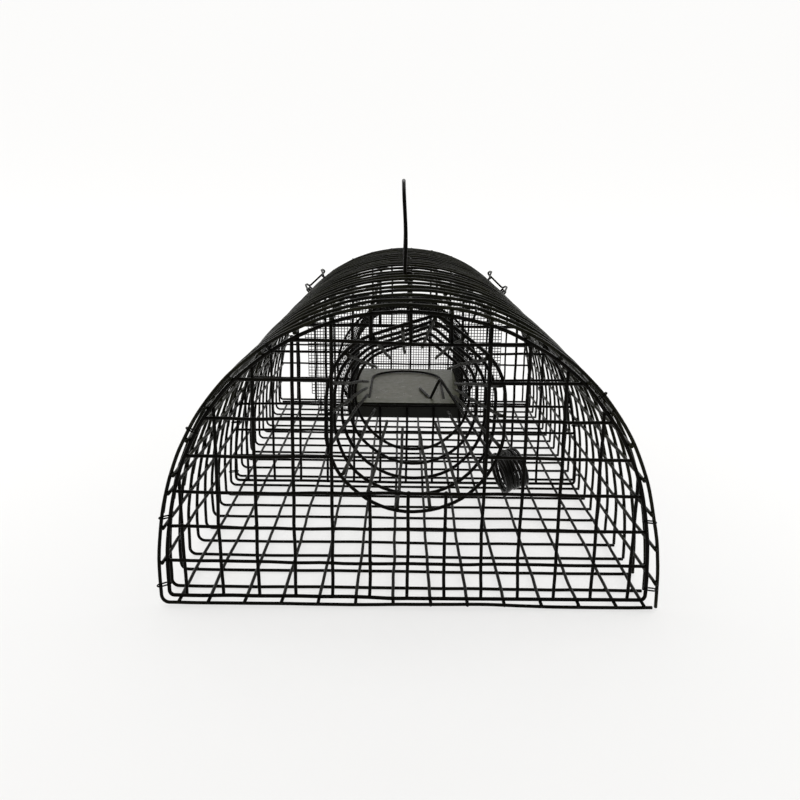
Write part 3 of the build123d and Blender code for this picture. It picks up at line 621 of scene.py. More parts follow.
def make_arch_sheet():
    """The top and the sides: two layers of wire welded at their crossings."""
    hoops = Shape()
    for k in range(CELLS_LONG + 1):
        line = spaced(arch_hoop_line(k), CURVE_STEP)
        hoops.tube([splay(wobble(p, OWN_ARCH_HOOP + k)) for p in line], MESH_R + PAINT_SKIN)
    places = arch_long_places()
    for x, z, angle in places:
        normal = Vector((math.sin(angle), 0, math.cos(angle)))
        for k in range(CELLS_LONG + 1):
            point = Vector((x, hoop_y(k) + ARCH_SHIFT, z)) + normal * MESH_R
            crossing_bead(hoops, splay(point), normal)
    hoops.make("arch_hoop_wires", ARCH_SHEEN_PAINT, ["arch_hoops"])
    longs = long_wires([(x, z) for x, z, _ in places], OWN_ARCH_LONG, splay)
    longs.make("arch_long_wire_set", ARCH_SHEEN_PAINT, ["arch_long_wires"])


def d_line(y, out):
    """Closed outline of a D-shaped frame."""
    wide = HALF_WIDTH + out
    foot = [(0, PANEL_Z), (-wide, PANEL_Z), (-wide, FOOT_Z)]
    left = rounded([(x, y, z) for x, z in foot], FRAME_BEND)
    right = [Vector((-p.x, p.y, p.z)) for p in reversed(left)]
    return left + at_y(arch_run(out)[1:-1], y) + right[:-1]


PANEL_ROWS = range(1, 8)
MOUTH_COLUMNS = (-1, 0, 1)
MOUTH_HALF_CELLS = 2
MOUTH_FOOT = 3  # in cells, for both openings
FRONT_MOUTH_TOP = 7
TUNNEL_MOUTH_TOP = 6
CUT_REACH = 2 * MM  # an upright's end still counts as crossing a bar this close
BAR_INTO_FRAME = 0.6  # share of the frame wire's radius that a bar stops short of
DOOR_LEAN = math.radians(1.2)
DOOR_GRID_SHIFT = 5.3 * MM  # the door's grid is off its middle


def door_lean(point):
    """Leans the door about its hinge line, as the CAD door is."""
    hinge = Vector(JOINTS["door_swing"]["pos_m"])
    return hinge + Matrix.Rotation(DOOR_LEAN, 3, "X") @ (point - hinge)


def make_panel(name, y, cut_rows, mouth, body, out=0.0, shift=0.0, place=as_it_is):
    """A panel: D-shaped frame, uprights and crossbars, welded at their crossings.

    mouth gives the lower and upper edge of the opening for each column that it cuts.
    """
    frame_shape = Shape()
    line = spaced(d_line(y, out), CURVE_STEP)[:-1]
    bent = []
    for p in line:
        calm = min(1.0, abs(p.z - PANEL_Z) / FOOT_CALM_HEIGHT) if body == "door" else 1.0
        bent.append(place(wobble(p, OWN_FRAME, calm)))
    frame_shape.tube(bent, FRAME_R, closed=True)
    back = y + UPRIGHT_BACK
    uprights = Shape()
    spans = []
    for k in range(-CELLS_HALF, CELLS_HALF + 1):
        x = k * PITCH + shift
        low, high = PANEL_Z - FRAME_R, height_at(x, out) + FRAME_R
        if k in mouth:
            spans += [(x, low, mouth[k][0]), (x, mouth[k][1], high)]
        else:
            spans.append((x, low, high))
    for index, (x, low, high) in enumerate(spans):
        line = straight((x, back, low), (x, back, high))
        uprights.tube([place(wobble(p, OWN_UPRIGHT + index)) for p in line], PANEL_R)
    bars = Shape()
    stop = MOUTH_HALF_CELLS * PITCH + PANEL_R
    for n in PANEL_ROWS:
        z = cell_z(n)
        reach = width_at(z, out) - FRAME_R * BAR_INTO_FRAME
        ends = [(-reach, -stop), (stop, reach)] if n in cut_rows else [(-reach, reach)]
        for first, last in ends:
            line = straight((first, y, z), (last, y, z))
            bars.tube([place(wobble(p, OWN_CROSSBAR + n)) for p in line], PANEL_R)
            for x, low, high in spans:
                beside = first - PITCH / 2 < x < last + PITCH / 2
                if beside and low - CUT_REACH < z < high + CUT_REACH:
                    x_in = min(max(x, first), last)
                    point = wobble(Vector((x_in, y + UPRIGHT_BACK / 2, z)))
                    vary = 1.0 + 0.3 * noise.noise(point * 700)
                    width, height = PANEL_BEAD
                    size = Vector((width, width, height)) * PANEL_R * vary
                    bars.bead(place(point), size, (0, 1, 0))
    frame_shape.make(f"{name}_frame_wire", PANEL_PAINT, [f"{name}_frame"], body)
    uprights.make(f"{name}_upright_set", PANEL_PAINT, [f"{name}_uprights"], body)
    bars.make(f"{name}_crossbar_set", PANEL_PAINT, [f"{name}_crossbars"], body)


def make_panels():
    tops = {"front": FRONT_MOUTH_TOP, "partition": TUNNEL_MOUTH_TOP}
    for name, top in tops.items():
        mouth = {k: (cell_z(MOUTH_FOOT), cell_z(top)) for k in MOUTH_COLUMNS}
        y = middle(f"{name}_frame").y
        make_panel(name, y, range(MOUTH_FOOT + 1, top), mouth, "cage")
    door_y = JOINTS["door_swing"]["pos_m"][1]
    make_panel("door", door_y, (), {}, "door", HOOP_OUT, DOOR_GRID_SHIFT, door_lean)


# --- funnel ---

PEAK_SHIFT = 0.22  # the rings' pointed top is right of their middle, share of half width
LEFT_ROOF_SLOPE = math.radians(20.0)
RIGHT_ROOF_SLOPE = math.radians(39.0)
PEAK_ROUNDING = 0.37 * MM  # the real peak is this much below the point of the two slopes
RING_COUNT = 5
RING_STEPS = 64
RING_UNEVEN = 1.3
FINGERS_EACH_HALF = 8
FINGER_STEPS = 12
FINGER_GAP = 0.1 * MM
FINGER_TRIM = 4 * MM  # the wires' ends are cut this unevenly at most
FINGER_UNEVEN = 1.4


def roof_distance(angle, wide, inset):
    """Distance from a ring's upper centre to a line inset from its pointed roof."""
    slope, reach = RIGHT_ROOF_SLOPE, wide * (1 - PEAK_SHIFT)
    if angle > math.atan2(1, PEAK_SHIFT):
        slope, reach, angle = LEFT_ROOF_SLOPE, wide * (1 + PEAK_SHIFT), math.pi - angle
    rise = wide - reach * math.tan(slope)
    bend = rise / (math.cos(slope) - (1 - math.sin(slope)) * math.tan(slope))
    centre = wide - bend
    bend_end = math.atan2(bend * math.cos(slope), centre + bend * math.sin(slope))
    if angle > bend_end:
        return (centre * math.sin(slope) + bend - inset) / math.sin(angle + slope)
    across = centre * math.sin(angle)
    return centre * math.cos(angle) + math.sqrt((bend - inset) ** 2 - across**2)


def funnel_sizes():
    """Middle, half width and half height of the first and the last ring's wire lines."""
    sizes = []
    for node in ("funnel_ring_1", f"funnel_ring_{RING_COUNT}"):
        wide = extent(node).x / 2 - RING_R
        low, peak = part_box(node)
        bottom = low.z + RING_R
        high = (peak.z - RING_R + PEAK_ROUNDING - bottom) / 2
        sizes.append((Vector((middle(node).x, middle(node).y, bottom + high)), wide, high))
    return sizes


def ring_at(share):
    """Middle, half width and half height at a share of the way from the first to the last ring."""
    (first, wide_1, high_1), (last, wide_5, high_5) = FUNNEL
    wide = wide_1 + (wide_5 - wide_1) * share
    high = high_1 + (high_5 - high_1) * share
    return first.lerp(last, share), wide, high


FUNNEL = funnel_sizes()


def funnel_line_point(angle, half, share, inset):
    """Point inside the rings: half is +1 in the roof, -1 in the round bottom or 0 at the side."""
    centre, wide, high = ring_at(share)
    distance = roof_distance(angle, wide, inset) if half > 0 else wide - inset
    rise = (high - wide) * half
    return centre + Vector((distance * math.cos(angle), 0, rise + distance * math.sin(angle)))


def make_rings():
    for i in range(1, RING_COUNT + 1):
        node = f"funnel_ring_{i}"
        ring = Shape()
        line = []
        for step in range(RING_STEPS):
            angle = 2 * math.pi * step / RING_STEPS
            turn = angle if angle <= math.pi else angle - 2 * math.pi
            half = 1 if turn >= 0 else -1
            share = (i - 1) / (RING_COUNT - 1)
            line.append(funnel_line_point(turn, half, share, 0.0))
        ring.tube([wobble(p, OWN_RING + i, RING_UNEVEN) for p in line], RING_R, closed=True)
        ring.make(f"{node}_wire", PANEL_PAINT, [node])


def make_fingers():
    """Wires inside the rings, welded to each ring, with free ends that point inward."""
    fingers = Shape()
    inset = RING_R + FINGER_R + FINGER_GAP
    first_y, last_y = FUNNEL[0][0].y, FUNNEL[1][0].y
    end_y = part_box("funnel_fingers")[1].y
    places = [(0.0, 0), (math.pi, 0)]
    for n in range(FINGERS_EACH_HALF):
        angle = math.pi * (n + 0.5) / FINGERS_EACH_HALF
        places += [(angle, 1), (-angle, -1)]
    for index, (angle, half) in enumerate(places):
        trim = min(0.0, FINGER_TRIM * noise.noise(Vector((index * 1.7, 0.3, 0.9))))
        line = []
        for step in range(FINGER_STEPS + 1):
            y = first_y - RING_R + (end_y + trim - first_y) * step / FINGER_STEPS
            share = (y - first_y) / (last_y - first_y)
            line.append(funnel_line_point(angle, half, share, inset))
        own = OWN_FINGER + index
        fingers.tube([wobble(p, own, FINGER_UNEVEN) for p in line], FINGER_R)
        for i in range(RING_COUNT):
            point = funnel_line_point(angle, half, i / (RING_COUNT - 1), inset / 2)
            width, height = RING_BEAD
            size = Vector((width, width, height)) * RING_R
            fingers.bead(wobble(point, own, RING_UNEVEN), size, (0, 0, 1))
    fingers.make("funnel_finger_set", FINGER_SHEEN_PAINT, ["funnel_fingers"])


# --- woven mesh ---

WEAVE_PITCH = 2.1 * MM
WEAVE_R = 0.28 * MM
HOOD_FLARE = 8.5 * MM  # the hood opens out towards the partition
HOOD_FLARE_LENGTH = 42 * MM
HOOD_FLARE_RISE = 18 * MM  # above the tunnel floor before the flare is full
HOOD_DENT = 0.8 * MM
HOOD_DENT_LENGTH = 22 * MM
END_DENT = 0.3 * MM
END_DENT_LENGTH = 20 * MM
PATCH_DENT = 0.35 * MM
PATCH_DENT_LENGTH = 16 * MM
PATCH_BACK = 0.2 * MM
PATCH_CORNER = 26 * MM
PATCH_PULL = 8 * MM  # the patch's sides run in towards its foot
PATCH_PULL_HEIGHT = 0.625  # share of the patch's height
PATCH_HOOD_GAP = 0.4 * MM
PATCH_FLOOR_GAP = 1.2 * MM
PATCH_SIDE_GAP = 0.2 * MM  # beside the tunnel floor
END_OVERLAP = 0.1 * MM  # the end screen reaches this far into the hood
HOOD_FOOT = 1 * MM  # the hood starts this far below the tunnel floor's top
RIM_STEPS = 60  # round each rim
RIM_UNEVEN = 0.35
SHEET_MID = -extent("partition_screen").y / 2  # the middle of a screen's thickness


def weave(shape, place, length_u, length_v, inside=None):
    """Plain woven wire on a surface. place gives the point and normal at u, v.

    Each wire is cut wherever inside says that it has left the screen.
    """
    count_u = max(2, round(length_u / WEAVE_PITCH))
    count_v = max(2, round(length_v / WEAVE_PITCH))

    def run(fixed, count, count_fixed, along_u):
        points = []
        for i in range(count + 1):
            u, v = (i / count, fixed / count_fixed) if along_u else (fixed / count_fixed, i / count)
            keep = inside is None or inside(u, v)
            if keep:
                point, normal = place(u, v)
                sign = 1 if (i + fixed) % 2 else -1
                if not along_u:
                    sign = -sign
                points.append(point + normal * (sign * WEAVE_R))
            if points and (not keep or i == count):
                if len(points) > 1:
                    shape.tube(points, WEAVE_R, sides=WEAVE_SIDES, domed=False)
                points = []

    for j in range(count_v + 1):
        run(j, count_u, count_v, True)
    for i in range(count_u + 1):
        run(i, count_v, count_u, False)


def hood_length(out):
    """Length round the hood's section at an offset."""
    return 2 * HOOD_SIDE + math.pi * (HOOD_HALF + out)


def hood_place(t, out, y):
    """Point and outward normal a share t round the hood's section."""
    wide = HOOD_HALF + out
    total = hood_length(out)
    along = t * total
    if along < HOOD_SIDE:
        return Vector((-wide, y, HOOD_LOW.z + along)), Vector((-1, 0, 0))
    if along > total - HOOD_SIDE:
        return Vector((wide, y, HOOD_LOW.z + total - along)), Vector((1, 0, 0))
    angle = (along - HOOD_SIDE) / wide
    normal = Vector((-math.cos(angle), 0, math.sin(angle)))
    return Vector((0, y, HOOD_SHOULDER)) + normal * wide, normal


def in_hood(x, z, margin):
    """Whether a place is inside the hood's section, made smaller by a margin."""
    wide = HOOD_HALF - margin
    if z < PLATE_TOP - HOOD_FOOT:
        return False
    if z <= HOOD_SHOULDER:
        return abs(x) < wide
    return math.hypot(x, z - HOOD_SHOULDER) < wide


def flare_at(z, behind):
    """How far the hood opens out at a height and a distance behind its front edge."""
    high = min(1.0, max(0.0, (z - PLATE_TOP) / HOOD_FLARE_RISE))
    near = max(0.0, 1.0 - behind / HOOD_FLARE_LENGTH)
    return HOOD_FLARE * high * near**2


def make_hood():
    hood = Shape()
    length = HOOD_HIGH.y - HOOD_LOW.y

    def on_hood(u, v):
        y = HOOD_LOW.y + u * length
        flare = flare_at(hood_place(v, SHEET_MID, y)[0].z, u * length)
        point, normal = hood_place(v, SHEET_MID + flare, y)
        dent = noise.noise(point / HOOD_DENT_LENGTH) * HOOD_DENT
        return point + normal * dent, normal

    weave(hood, on_hood, length, hood_length(SHEET_MID))
    hood.make("hood_mesh", MESH_PAINT, ["tunnel_hood"], slot_name="fine_mesh")


def make_flat_screen(name, node, dent, dent_length, back, inside):
    """Woven mesh in the middle of a flat CAD screen, wherever inside holds."""
    low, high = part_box(node)
    size = high - low

    def place(u, v):
        point = Vector((low.x + u * size.x, (low.y + high.y) / 2, low.z + v * size.z))
        point.y += noise.noise(point / dent_length) * dent + back
        return point, Vector((0, 1, 0))

    def keep(u, v):
        point, _ = place(u, v)
        return inside(point.x, point.z, v)

    screen = Shape()
    weave(screen, place, size.x, size.z, keep)
    screen.make(name, MESH_PAINT, [node], slot_name="fine_mesh")


def in_end_screen(x, z, _):
    return in_hood(x, max(z, PLATE_TOP), -END_OVERLAP)


def in_patch(x, z, rise):
    """Inside the patch round the tunnel's mouth; rise is a share of the patch's height."""
    if in_hood(x, z, PATCH_HOOD_GAP - flare_at(z, 0.0)):
        return False
    if abs(x) < PLATE_HIGH.x + PATCH_SIDE_GAP and abs(z - PLATE_TOP) < PATCH_FLOOR_GAP:
        return False
    pull = PATCH_PULL * max(0.0, 1.0 - rise / PATCH_PULL_HEIGHT) ** 2
    if not PATCH_LOW.x + pull <= x <= PATCH_HIGH.x - pull:
        return False
    corner = PATCH_CORNER
    dx = max(PATCH_LOW.x + corner - x, x - (PATCH_HIGH.x - corner), 0.0)
    dz = max(z - (PATCH_HIGH.z - corner), 0.0)
    return math.hypot(dx, dz) <= corner


def make_flat_screens():
    end_sizes = (END_DENT, END_DENT_LENGTH, 0.0)
    make_flat_screen("end_mesh", "tunnel_end_screen", *end_sizes, in_end_screen)
    patch_sizes = (PATCH_DENT, PATCH_DENT_LENGTH, PATCH_BACK)
    make_flat_screen("partition_mesh", "partition_screen", *patch_sizes, in_patch)


def make_hood_rims():
    for node in ("hood_front_rim", "hood_rear_rim"):
        rim = Shape()
        y = middle(node).y
        line = []
        for step in range(RIM_STEPS + 1):
            t = step / RIM_STEPS
            z = hood_place(t, 0.0, y)[0].z
            out = MESH_R + TOUCH + flare_at(z, y - HOOD_LOW.y)
            line.append(hood_place(t, out, y)[0])
        rim.tube([wobble(p, OWN_RIM, RIM_UNEVEN) for p in line], MESH_R)
        rim.make(f"{node}_wire", CAGE_PAINT, [node])


# --- sheet metal ---

SHEET_BEVEL = 0.12 * MM
FLAT_ANGLE = math.radians(1.0)  # faces closer than this become one face
EDGE_ANGLE = math.radians(40)  # edges sharper than this are softened
SAME_POINT = 1e-6
SLOT_HALF = 28.0 * MM  # half the width of the hole in the tunnel floor
SLOT_STRAIGHT_END = 80.0 * MM  # behind the floor's front edge
# The slot's dark edge is painted shadow: a near-black tube where the gap round the flap is in shade.
SLOT_SHADOW_R = 0.75 * MM
SLOT_SHADOW_START = 4.0 * MM  # behind the flap's front edge
SLOT_SHADOW_STEPS = 32
SLOT_SHADOW_STEP = 4 * MM
FLANGE_TOP = 1.2 * MM  # below the tunnel floor's top
FLANGE_BACK = 1 * MM  # behind the floor's front edge


def sheet_copy(node, name, material, body):
    """A copy of a CAD sheet piece with softened edges."""
    mesh = frame["nodes"][node].data.copy()
    mesh.materials.clear()
    mesh.materials.append(material)
    piece = add_object(name, mesh)
    bm = bmesh.new()
    bm.from_mesh(mesh)
    bmesh.ops.remove_doubles(bm, verts=bm.verts, dist=SAME_POINT)
    bmesh.ops.dissolve_limit(bm, angle_limit=FLAT_ANGLE, verts=bm.verts, edges=bm.edges)
    bm.to_mesh(mesh)
    bm.free()
    soften = piece.modifiers.new("soften", "BEVEL")
    soften.width = SHEET_BEVEL
    soften.segments = 2
    soften.limit_method = "ANGLE"
    soften.angle_limit = EDGE_ANGLE
    soften.harden_normals = False
    depsgraph = bpy.context.evaluated_depsgraph_get()
    baked = bpy.data.meshes.new_from_object(piece.evaluated_get(depsgraph))
    piece.modifiers.clear()
    piece.data = baked
    bm = bmesh.new()
    bm.from_mesh(baked)
    bmesh.ops.triangulate(bm, faces=bm.faces)
    bm.to_mesh(baked)
    bm.free()
    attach(piece, body)
    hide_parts(node)
    return piece


def paint_flange_shade(floor):
    """Paints shade on the turned-down front edge of the tunnel floor: a much darker copy of the
    floor's paint, where the face is in shade.
    """
    floor.data.materials.append(FLANGE_PAINTED_SHADE)
    for face in floor.data.polygons:
        below = face.center.z < PLATE_TOP - FLANGE_TOP
        if below and face.center.y < PLATE_LOW.y + FLANGE_BACK:
            face.material_index = 1


def make_slot_shadow():
    """Painted shadow: a near-black tube round the curved end and the sides of the hole in the tunnel
    floor, where the gap round the flap is in shade.
    """
    half = SLOT_HALF - SLOT_SHADOW_R
    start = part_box("trap_flap")[0].y + SLOT_SHADOW_START
    end = PLATE_LOW.y + SLOT_STRAIGHT_END
    z = PLATE_TOP - SLOT_SHADOW_R
    line = [Vector((-half, start, z))]
    for i in range(SLOT_SHADOW_STEPS + 1):
        turn = math.pi * (1 - i / SLOT_SHADOW_STEPS)
        line.append(Vector((half * math.cos(turn), end + half * math.sin(turn), z)))
    line.append(Vector((half, start, z)))
    shadow_tube = Shape()
    shadow_tube.tube(spaced(line, SLOT_SHADOW_STEP), SLOT_SHADOW_R)
    shadow_tube.make("slot_painted_shadow", PANEL_PAINT, [], slot_name="sheet")


# --- wire forms ---

COIL_AXIS = Vector((0.93, 0.25, 0.27)).normalized()
COIL_TURNS = 7.4
COIL_STEP = 2.0 * MM
COIL_STRAY = 0.5 * MM  # how far a turn strays along the winding
COIL_OUTSIDE = 27.0 * MM
COIL_UNEVEN = ((0.035, 2.1), (0.02, 5.3))  # share of the radius, and how fast it comes and goes
COIL_LEAD = 3.5 * MM  # how far before the winding the arm turns into it
COIL_LEAD_SIDE = 0.6 * MM
STEPS_PER_TURN = 30
ARM_TAIL = (10.5 * MM, 48.0 * MM)  # from the middle, and behind the floor's front edge
ARM_BEND = (17.5 * MM, 17.0 * MM)
ARM_TOP = (23.5 * MM, 5.5 * MM, 16.5 * MM)  # and above the tunnel floor
ARM_RADIUS = 2.2 * MM


def make_counterweight():
    """One wire: a tail on the flap, over the tunnel's edge and wound into a close coil."""
    centre = middle("counterweight_coil")
    up = Vector((0, 0, 1))
    top = (up - COIL_AXIS * up.dot(COIL_AXIS)).normalized()
    front = COIL_AXIS.cross(top)
    radius = COIL_OUTSIDE / 2 - COIL_R
    steps = int(COIL_TURNS * STEPS_PER_TURN)
    coil = []
    for i in range(steps + 1):
        turn = COIL_TURNS * i / steps
        angle = 2 * math.pi * turn
        loose = 1 + sum(size * math.sin(turn * rate) for size, rate in COIL_UNEVEN)
        along = COIL_STEP * (turn - COIL_TURNS / 2) + COIL_STRAY * math.sin(angle + turn)
        spoke = (top * math.cos(angle) + front * math.sin(angle)) * radius * loose
        coil.append(centre + spoke + COIL_AXIS * along)
    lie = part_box("trap_flap")[1].z + COIL_R + TOUCH
    front_y = PLATE_LOW.y
    arm = [
        (ARM_TAIL[0], front_y + ARM_TAIL[1], lie),
        (ARM_BEND[0], front_y + ARM_BEND[1], lie),
        (ARM_TOP[0], front_y + ARM_TOP[1], PLATE_TOP + ARM_TOP[2]),
        coil[0] - front * COIL_LEAD - COIL_AXIS * COIL_LEAD_SIDE,
        coil[0],
    ]
    weight = Shape()
    line = spaced(rounded(arm, ARM_RADIUS), CURVE_STEP)[:-1] + coil
    weight.tube(line, COIL_R, sides=THICK_SIDES)
    nodes = ["counterweight_coil", "counterweight_arm"]
    weight.make("weight_wire", WEIGHT_PAINT_AND_SHEEN, nodes, "flap", "weight_wire")


LATCH_HALF_SPAN = 10.5 * MM
LATCH_EYE = 3.95 * MM  # radius of the eyes, at the wire's middle
LATCH_EYE_STEPS = 26  # in one turn
LATCH_LOWER_TURNS = 2.0
LATCH_UPPER_TURNS = 0.9
LATCH_EYE_SLIDE = 1.9 * MM  # sideways in one turn
LATCH_LEG_START = 3 * MM
# Bends of each leg: how far behind the hinge, and how far out from it.
LATCH_LEG = ((13.0 * MM, 8.0 * MM), (23.0 * MM, 7.6 * MM), (27.0 * MM, 4.6 * MM))
LATCH_RADII = tuple(r * MM for r in (3.0, 4.0, 2.2, 2.2, 2.2, 2.2, 4.0, 3.0))


def make_latch(side, body):
    """One wire: a two-turn eye, a leg to the rear, the bar, a leg back and a single eye."""
    joint = JOINTS[f"{body}_swing"]
    origin = Vector(joint["pos_m"])
    u = Vector(joint["axis"]).normalized()
    u = u if u.x * side > 0 else -u
    back = Vector((0, 1, 0))
    out = u.cross(back)
    out = out if out.z > 0 else -out

    def place(along, off, behind):
        return origin + u * along + out * off + back * behind

    def eye(along, turns, inward):
        line = []
        count = int(LATCH_EYE_STEPS * turns)
        for i in range(count + 1):
            left = turns * (1 - i / count)
            angle = math.pi / 2 + 2 * math.pi * left
            slide = inward * LATCH_EYE_SLIDE * left
            off, behind = LATCH_EYE * math.sin(angle), LATCH_EYE * math.cos(angle)
            line.append(place(along + slide, off, behind))
        return line

    span = LATCH_HALF_SPAN
    runs = [place(span, LATCH_EYE, 0), place(span, LATCH_EYE, LATCH_LEG_START)]
    runs += [place(span, off, behind) for behind, off in LATCH_LEG]
    runs += [place(-span, off, behind) for behind, off in reversed(LATCH_LEG)]
    runs += [place(-span, LATCH_EYE, LATCH_LEG_START), place(-span, LATCH_EYE, 0)]
    bail = rounded(runs, LATCH_RADII)
    lower, upper = eye(span, LATCH_LOWER_TURNS, -1), eye(-span, LATCH_UPPER_TURNS, 1)
    line = lower[:-1] + bail + upper[::-1][1:]
    wire = Shape()
    wire.tube(line, LATCH_R)
    wire.make(f"{body}_wire", PANEL_PAINT, [body], body)


HANDLE_EYE = 2.5 * MM  # radius of the eyes round the ridge wire
HANDLE_EYE_TURNS = 1.6
HANDLE_EYE_STEPS = 44
HANDLE_EYE_SLIDE = 2.6 * MM  # along the ridge in one turn
HANDLE_CORNER = 16 * MM
HANDLE_CORNER_STEPS = 10
HANDLE_LEAN = 0.9 * MM  # the bail is a little bent
HANDLE_SWAY = 0.6 * MM
HANDLE_SWAY_RATE = 5.0
HANDLE_BLEND = 4  # the bends are whole from one over this share of the height
HANDLE_STRAIGHT = 4 * MM  # above the ridge wire, below where the bends start


def handle_eye(y, inward):
    """Wire wound round the ridge wire, which ends at the handle's leg."""
    line = []
    for i in range(HANDLE_EYE_STEPS + 1):
        left = HANDLE_EYE_TURNS * (1 - i / HANDLE_EYE_STEPS)
        angle = math.pi + 2 * math.pi * left
        x, z = HANDLE_EYE * math.cos(angle), HANDLE_EYE * math.sin(angle)
        line.append(Vector((x, y + inward * HANDLE_EYE_SLIDE * left, RIDGE_Z + z)))
    return line


def make_handle():
    """One wire: an eye round the ridge, up, back, down and a second eye."""
    low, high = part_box("handle")
    near, far, top = low.y + HANDLE_R, high.y - HANDLE_R, high.z - HANDLE_R
    corners = [(near, RIDGE_Z), (near, top), (far, top), (far, RIDGE_Z)]
    corners = [(-HANDLE_EYE, y, z) for y, z in corners]
    bail = rounded(corners, HANDLE_CORNER, HANDLE_CORNER_STEPS)
    bent = []
    for p in spaced(bail, STRAIGHT_STEP):
        share = max(0.0, (p.z - RIDGE_Z - HANDLE_STRAIGHT) / (top - RIDGE_Z))
        sway = HANDLE_SWAY * math.sin(share * HANDLE_SWAY_RATE) - HANDLE_LEAN * share
        bent.append(p + Vector((sway * min(1.0, share * HANDLE_BLEND), 0, 0)))
    line = handle_eye(near, 1)[:-1] + bent + handle_eye(far, -1)[::-1][1:]
    wire = Shape()
    wire.tube(line, HANDLE_R, sides=THICK_SIDES)
    wire.make("handle_wire", PANEL_PAINT, ["handle"], "handle")


def keep_with_paint(node, material):
    """A CAD piece whose shape is right gets only its finish."""
    piece = frame["nodes"][node]
    piece.data.materials.clear()
    piece.data.materials.append(material)
    piece.data.polygons.foreach_set("use_smooth", [True] * len(piece.data.polygons))


# --- stage ---

FLOOR_GLOW = 0.69  # the sweep is a lit white panel, so its shadows stay faint
WALL_GLOW = 0.862
GLOW_NEAR = 0.6  # metres from the cage, where the glow starts to rise
GLOW_FAR = 2.8
STAGE_WHITE = (0.16, 0.159, 0.156)
STAGE_MOTTLE = 0.985  # the darker patches' share of the white
WHITE_LIGHT = (1.0, 0.997, 0.99, 1.0)
SWEEP_HALF = 6.0  # half its width, and its other sizes, in metres
SWEEP_FRONT = -7.0
SWEEP_BACK = 5.0
SWEEP_HEIGHT = 6.0
SWEEP_BEND = 1.6
SWEEP_STEPS = 12


def make_stage():
    """Floor and wall in one sheet, joined by a round bend."""
    bend_start = SWEEP_BACK - SWEEP_BEND
    profile = [(SWEEP_FRONT, 0.0), (bend_start, 0.0)]
    for i in range(1, SWEEP_STEPS + 1):
        angle = math.pi / 2 * i / SWEEP_STEPS
        rise = SWEEP_BEND - SWEEP_BEND * math.cos(angle)
        profile.append((bend_start + SWEEP_BEND * math.sin(angle), rise))
    profile.append((SWEEP_BACK, SWEEP_HEIGHT))
    verts = [(x, y, z) for y, z in profile for x in (-SWEEP_HALF, SWEEP_HALF)]
    faces = [[a, a + 1, a + 3, a + 2] for a in range(0, 2 * len(profile) - 2, 2)]
    mesh = bpy.data.meshes.new("stage_sweep")
    mesh.from_pydata(verts, [], faces)
    mesh.polygons.foreach_set("use_smooth", [True] * len(faces))
    mesh.materials.append(stage_material())
    add_object("stage_sweep", mesh)


def stage_material():
    """Plain white that gives some light of its own, more of it further from the cage."""
    m = Nodes("stage_white")
    soft = m.noise(1.5, 2.0)
    shade = tuple(c * STAGE_MOTTLE for c in STAGE_WHITE)
    m.link(m.ramp(soft, ((0.3, shade), (0.7, STAGE_WHITE))), m.shader.inputs["Base Color"])
    m.shader.inputs["Roughness"].default_value = 0.8
    m.shader.inputs["Emission Color"].default_value = WHITE_LIGHT
    away = m.add("VectorMath")
    away.operation = "LENGTH"
    m.link(m.coords, away.inputs[0])
    away_range, glow_range = (GLOW_NEAR, GLOW_FAR), (FLOOR_GLOW, WALL_GLOW)
    glow = map_range(m.tree, away.outputs["Value"], away_range, glow_range)
    m.link(glow, m.shader.inputs["Emission Strength"])
    return m.material


WORLD_TOP = 0.95
WORLD_FRONT = 0.25
WORLD_BRIGHT_SIDE = (0.0, 0.75, 0.65)
WORLD_FACING_RANGE = (-0.5, 0.6)
LAMP_AIM = (0.0, 0.0, 0.1)
# Each lamp's name, place, size in metres and power in watts.
LAMPS = (
    ("left_softbox", (-1.0, 0.3, 1.25), (0.5, 1.6), 9.0),
    ("right_softbox", (1.0, 0.3, 1.25), (0.5, 1.6), 9.0),
    ("back_softbox", (0.0, 1.6, 1.5), (1.6, 0.6), 12.0),
    ("rear_left_strip", (-1.4, 1.5, 0.8), (0.5, 1.2), 10.0),
    ("rear_right_strip", (1.4, 1.5, 0.8), (0.5, 1.2), 10.0),
)


def make_world():
    """Pale all round, dimmer on the camera's side."""
    world = bpy.data.worlds.new("studio")
    bpy.context.scene.world = world
    world.use_nodes = True
    tree = world.node_tree
    backdrop = tree.nodes["Background"]
    coords = tree.nodes.new("ShaderNodeTexCoord")
    facing = tree.nodes.new("ShaderNodeVectorMath")
    facing.operation = "DOT_PRODUCT"
    facing.inputs[1].default_value = WORLD_BRIGHT_SIDE
    tree.links.new(coords.outputs["Generated"], facing.inputs[0])
    light_range = (WORLD_FRONT, WORLD_TOP)
    strength = map_range(tree, facing.outputs["Value"], WORLD_FACING_RANGE, light_range)
    tree.links.new(strength, backdrop.inputs["Strength"])
    backdrop.inputs["Color"].default_value = WHITE_LIGHT


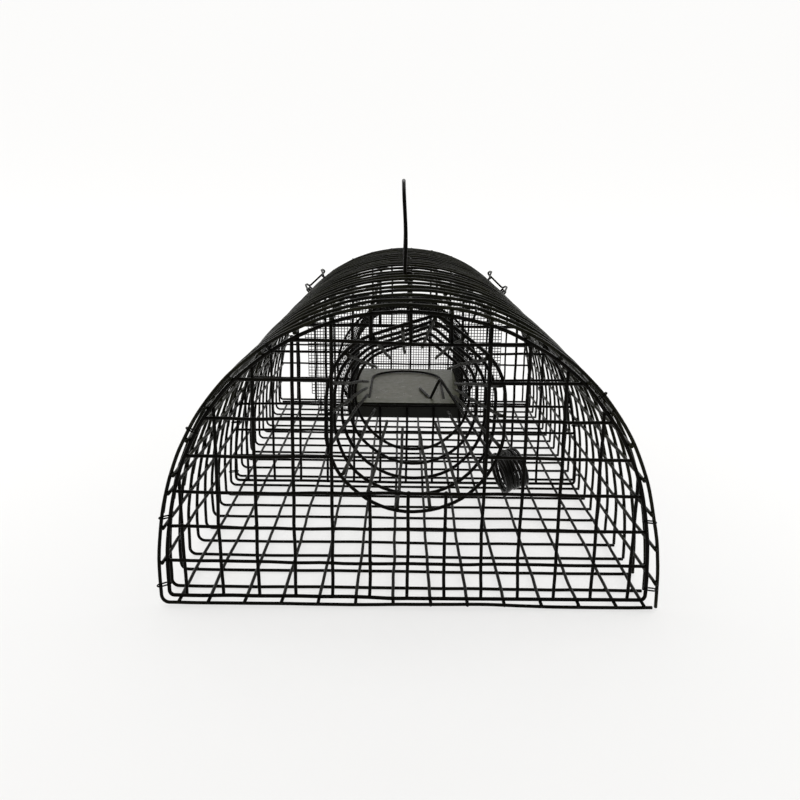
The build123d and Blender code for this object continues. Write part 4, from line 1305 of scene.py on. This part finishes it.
def make_light():
    make_world()
    for name, place, (wide, long), power in LAMPS:
        data = bpy.data.lights.new(name, "AREA")
        data.shape = "RECTANGLE"
        data.size = wide
        data.size_y = long
        data.energy = power
        lamp = add_object(name, data)
        lamp.location = place
        aim = Vector(LAMP_AIM) - Vector(place)
        lamp.rotation_euler = aim.to_track_quat("-Z", "Y").to_euler()
    bpy.context.scene.view_settings.view_transform = "Standard"


CAMERA_BACK = 19.18  # in cells, in front of the front panel
CAMERA_UP = 10.51  # in cells, above the panel's foot
CAMERA_SIDE = -0.25  # in cells
CAMERA_PITCH = math.radians(14.54)
CAMERA_ROLL = math.radians(0.667)
CAMERA_LENS = 35.18  # millimetres, on a sensor 36 wide


def make_camera():
    """The photograph's viewing angle, from sizes in mesh cells."""
    data = bpy.data.cameras.new("camera")
    data.lens = CAMERA_LENS
    data.sensor_width = 36.0
    data.clip_start = 0.01
    data.clip_end = 50
    camera = add_object("camera", data)
    place = Vector(
        (CAMERA_SIDE * PITCH, FRONT_Y - CAMERA_BACK * PITCH, PANEL_Z + CAMERA_UP * PITCH)
    )
    tilt = Matrix.Rotation(math.pi / 2 - CAMERA_PITCH, 4, "X")
    roll = Matrix.Rotation(CAMERA_ROLL, 4, "Z")
    camera.matrix_world = Matrix.Translation(place) @ tilt @ roll
    bpy.context.scene.camera = camera


# --- the whole trap ---


def main():
    make_floor_sheet()
    make_arch_sheet()
    make_panels()
    make_rings()
    make_fingers()
    make_hood()
    make_flat_screens()
    make_hood_rims()
    floor = sheet_copy("tunnel_floor", "tunnel_floor_sheet", FLOOR_SHEET, "cage")
    paint_flange_shade(floor)
    make_slot_shadow()
    sheet_copy("trap_flap", "trap_flap_sheet", FLAP_SHEET, "flap")
    make_counterweight()
    make_latch(-1, "latch_left")
    make_latch(1, "latch_right")
    make_handle()
    for node in ("flap_hinge_rod", "rear_sill"):
        keep_with_paint(node, PANEL_PAINT)
    for node in ("front_ties", "partition_ties", "door_hinge_rings"):
        keep_with_paint(node, TIE_PAINT)
    make_stage()
    make_light()
    make_camera()


main()
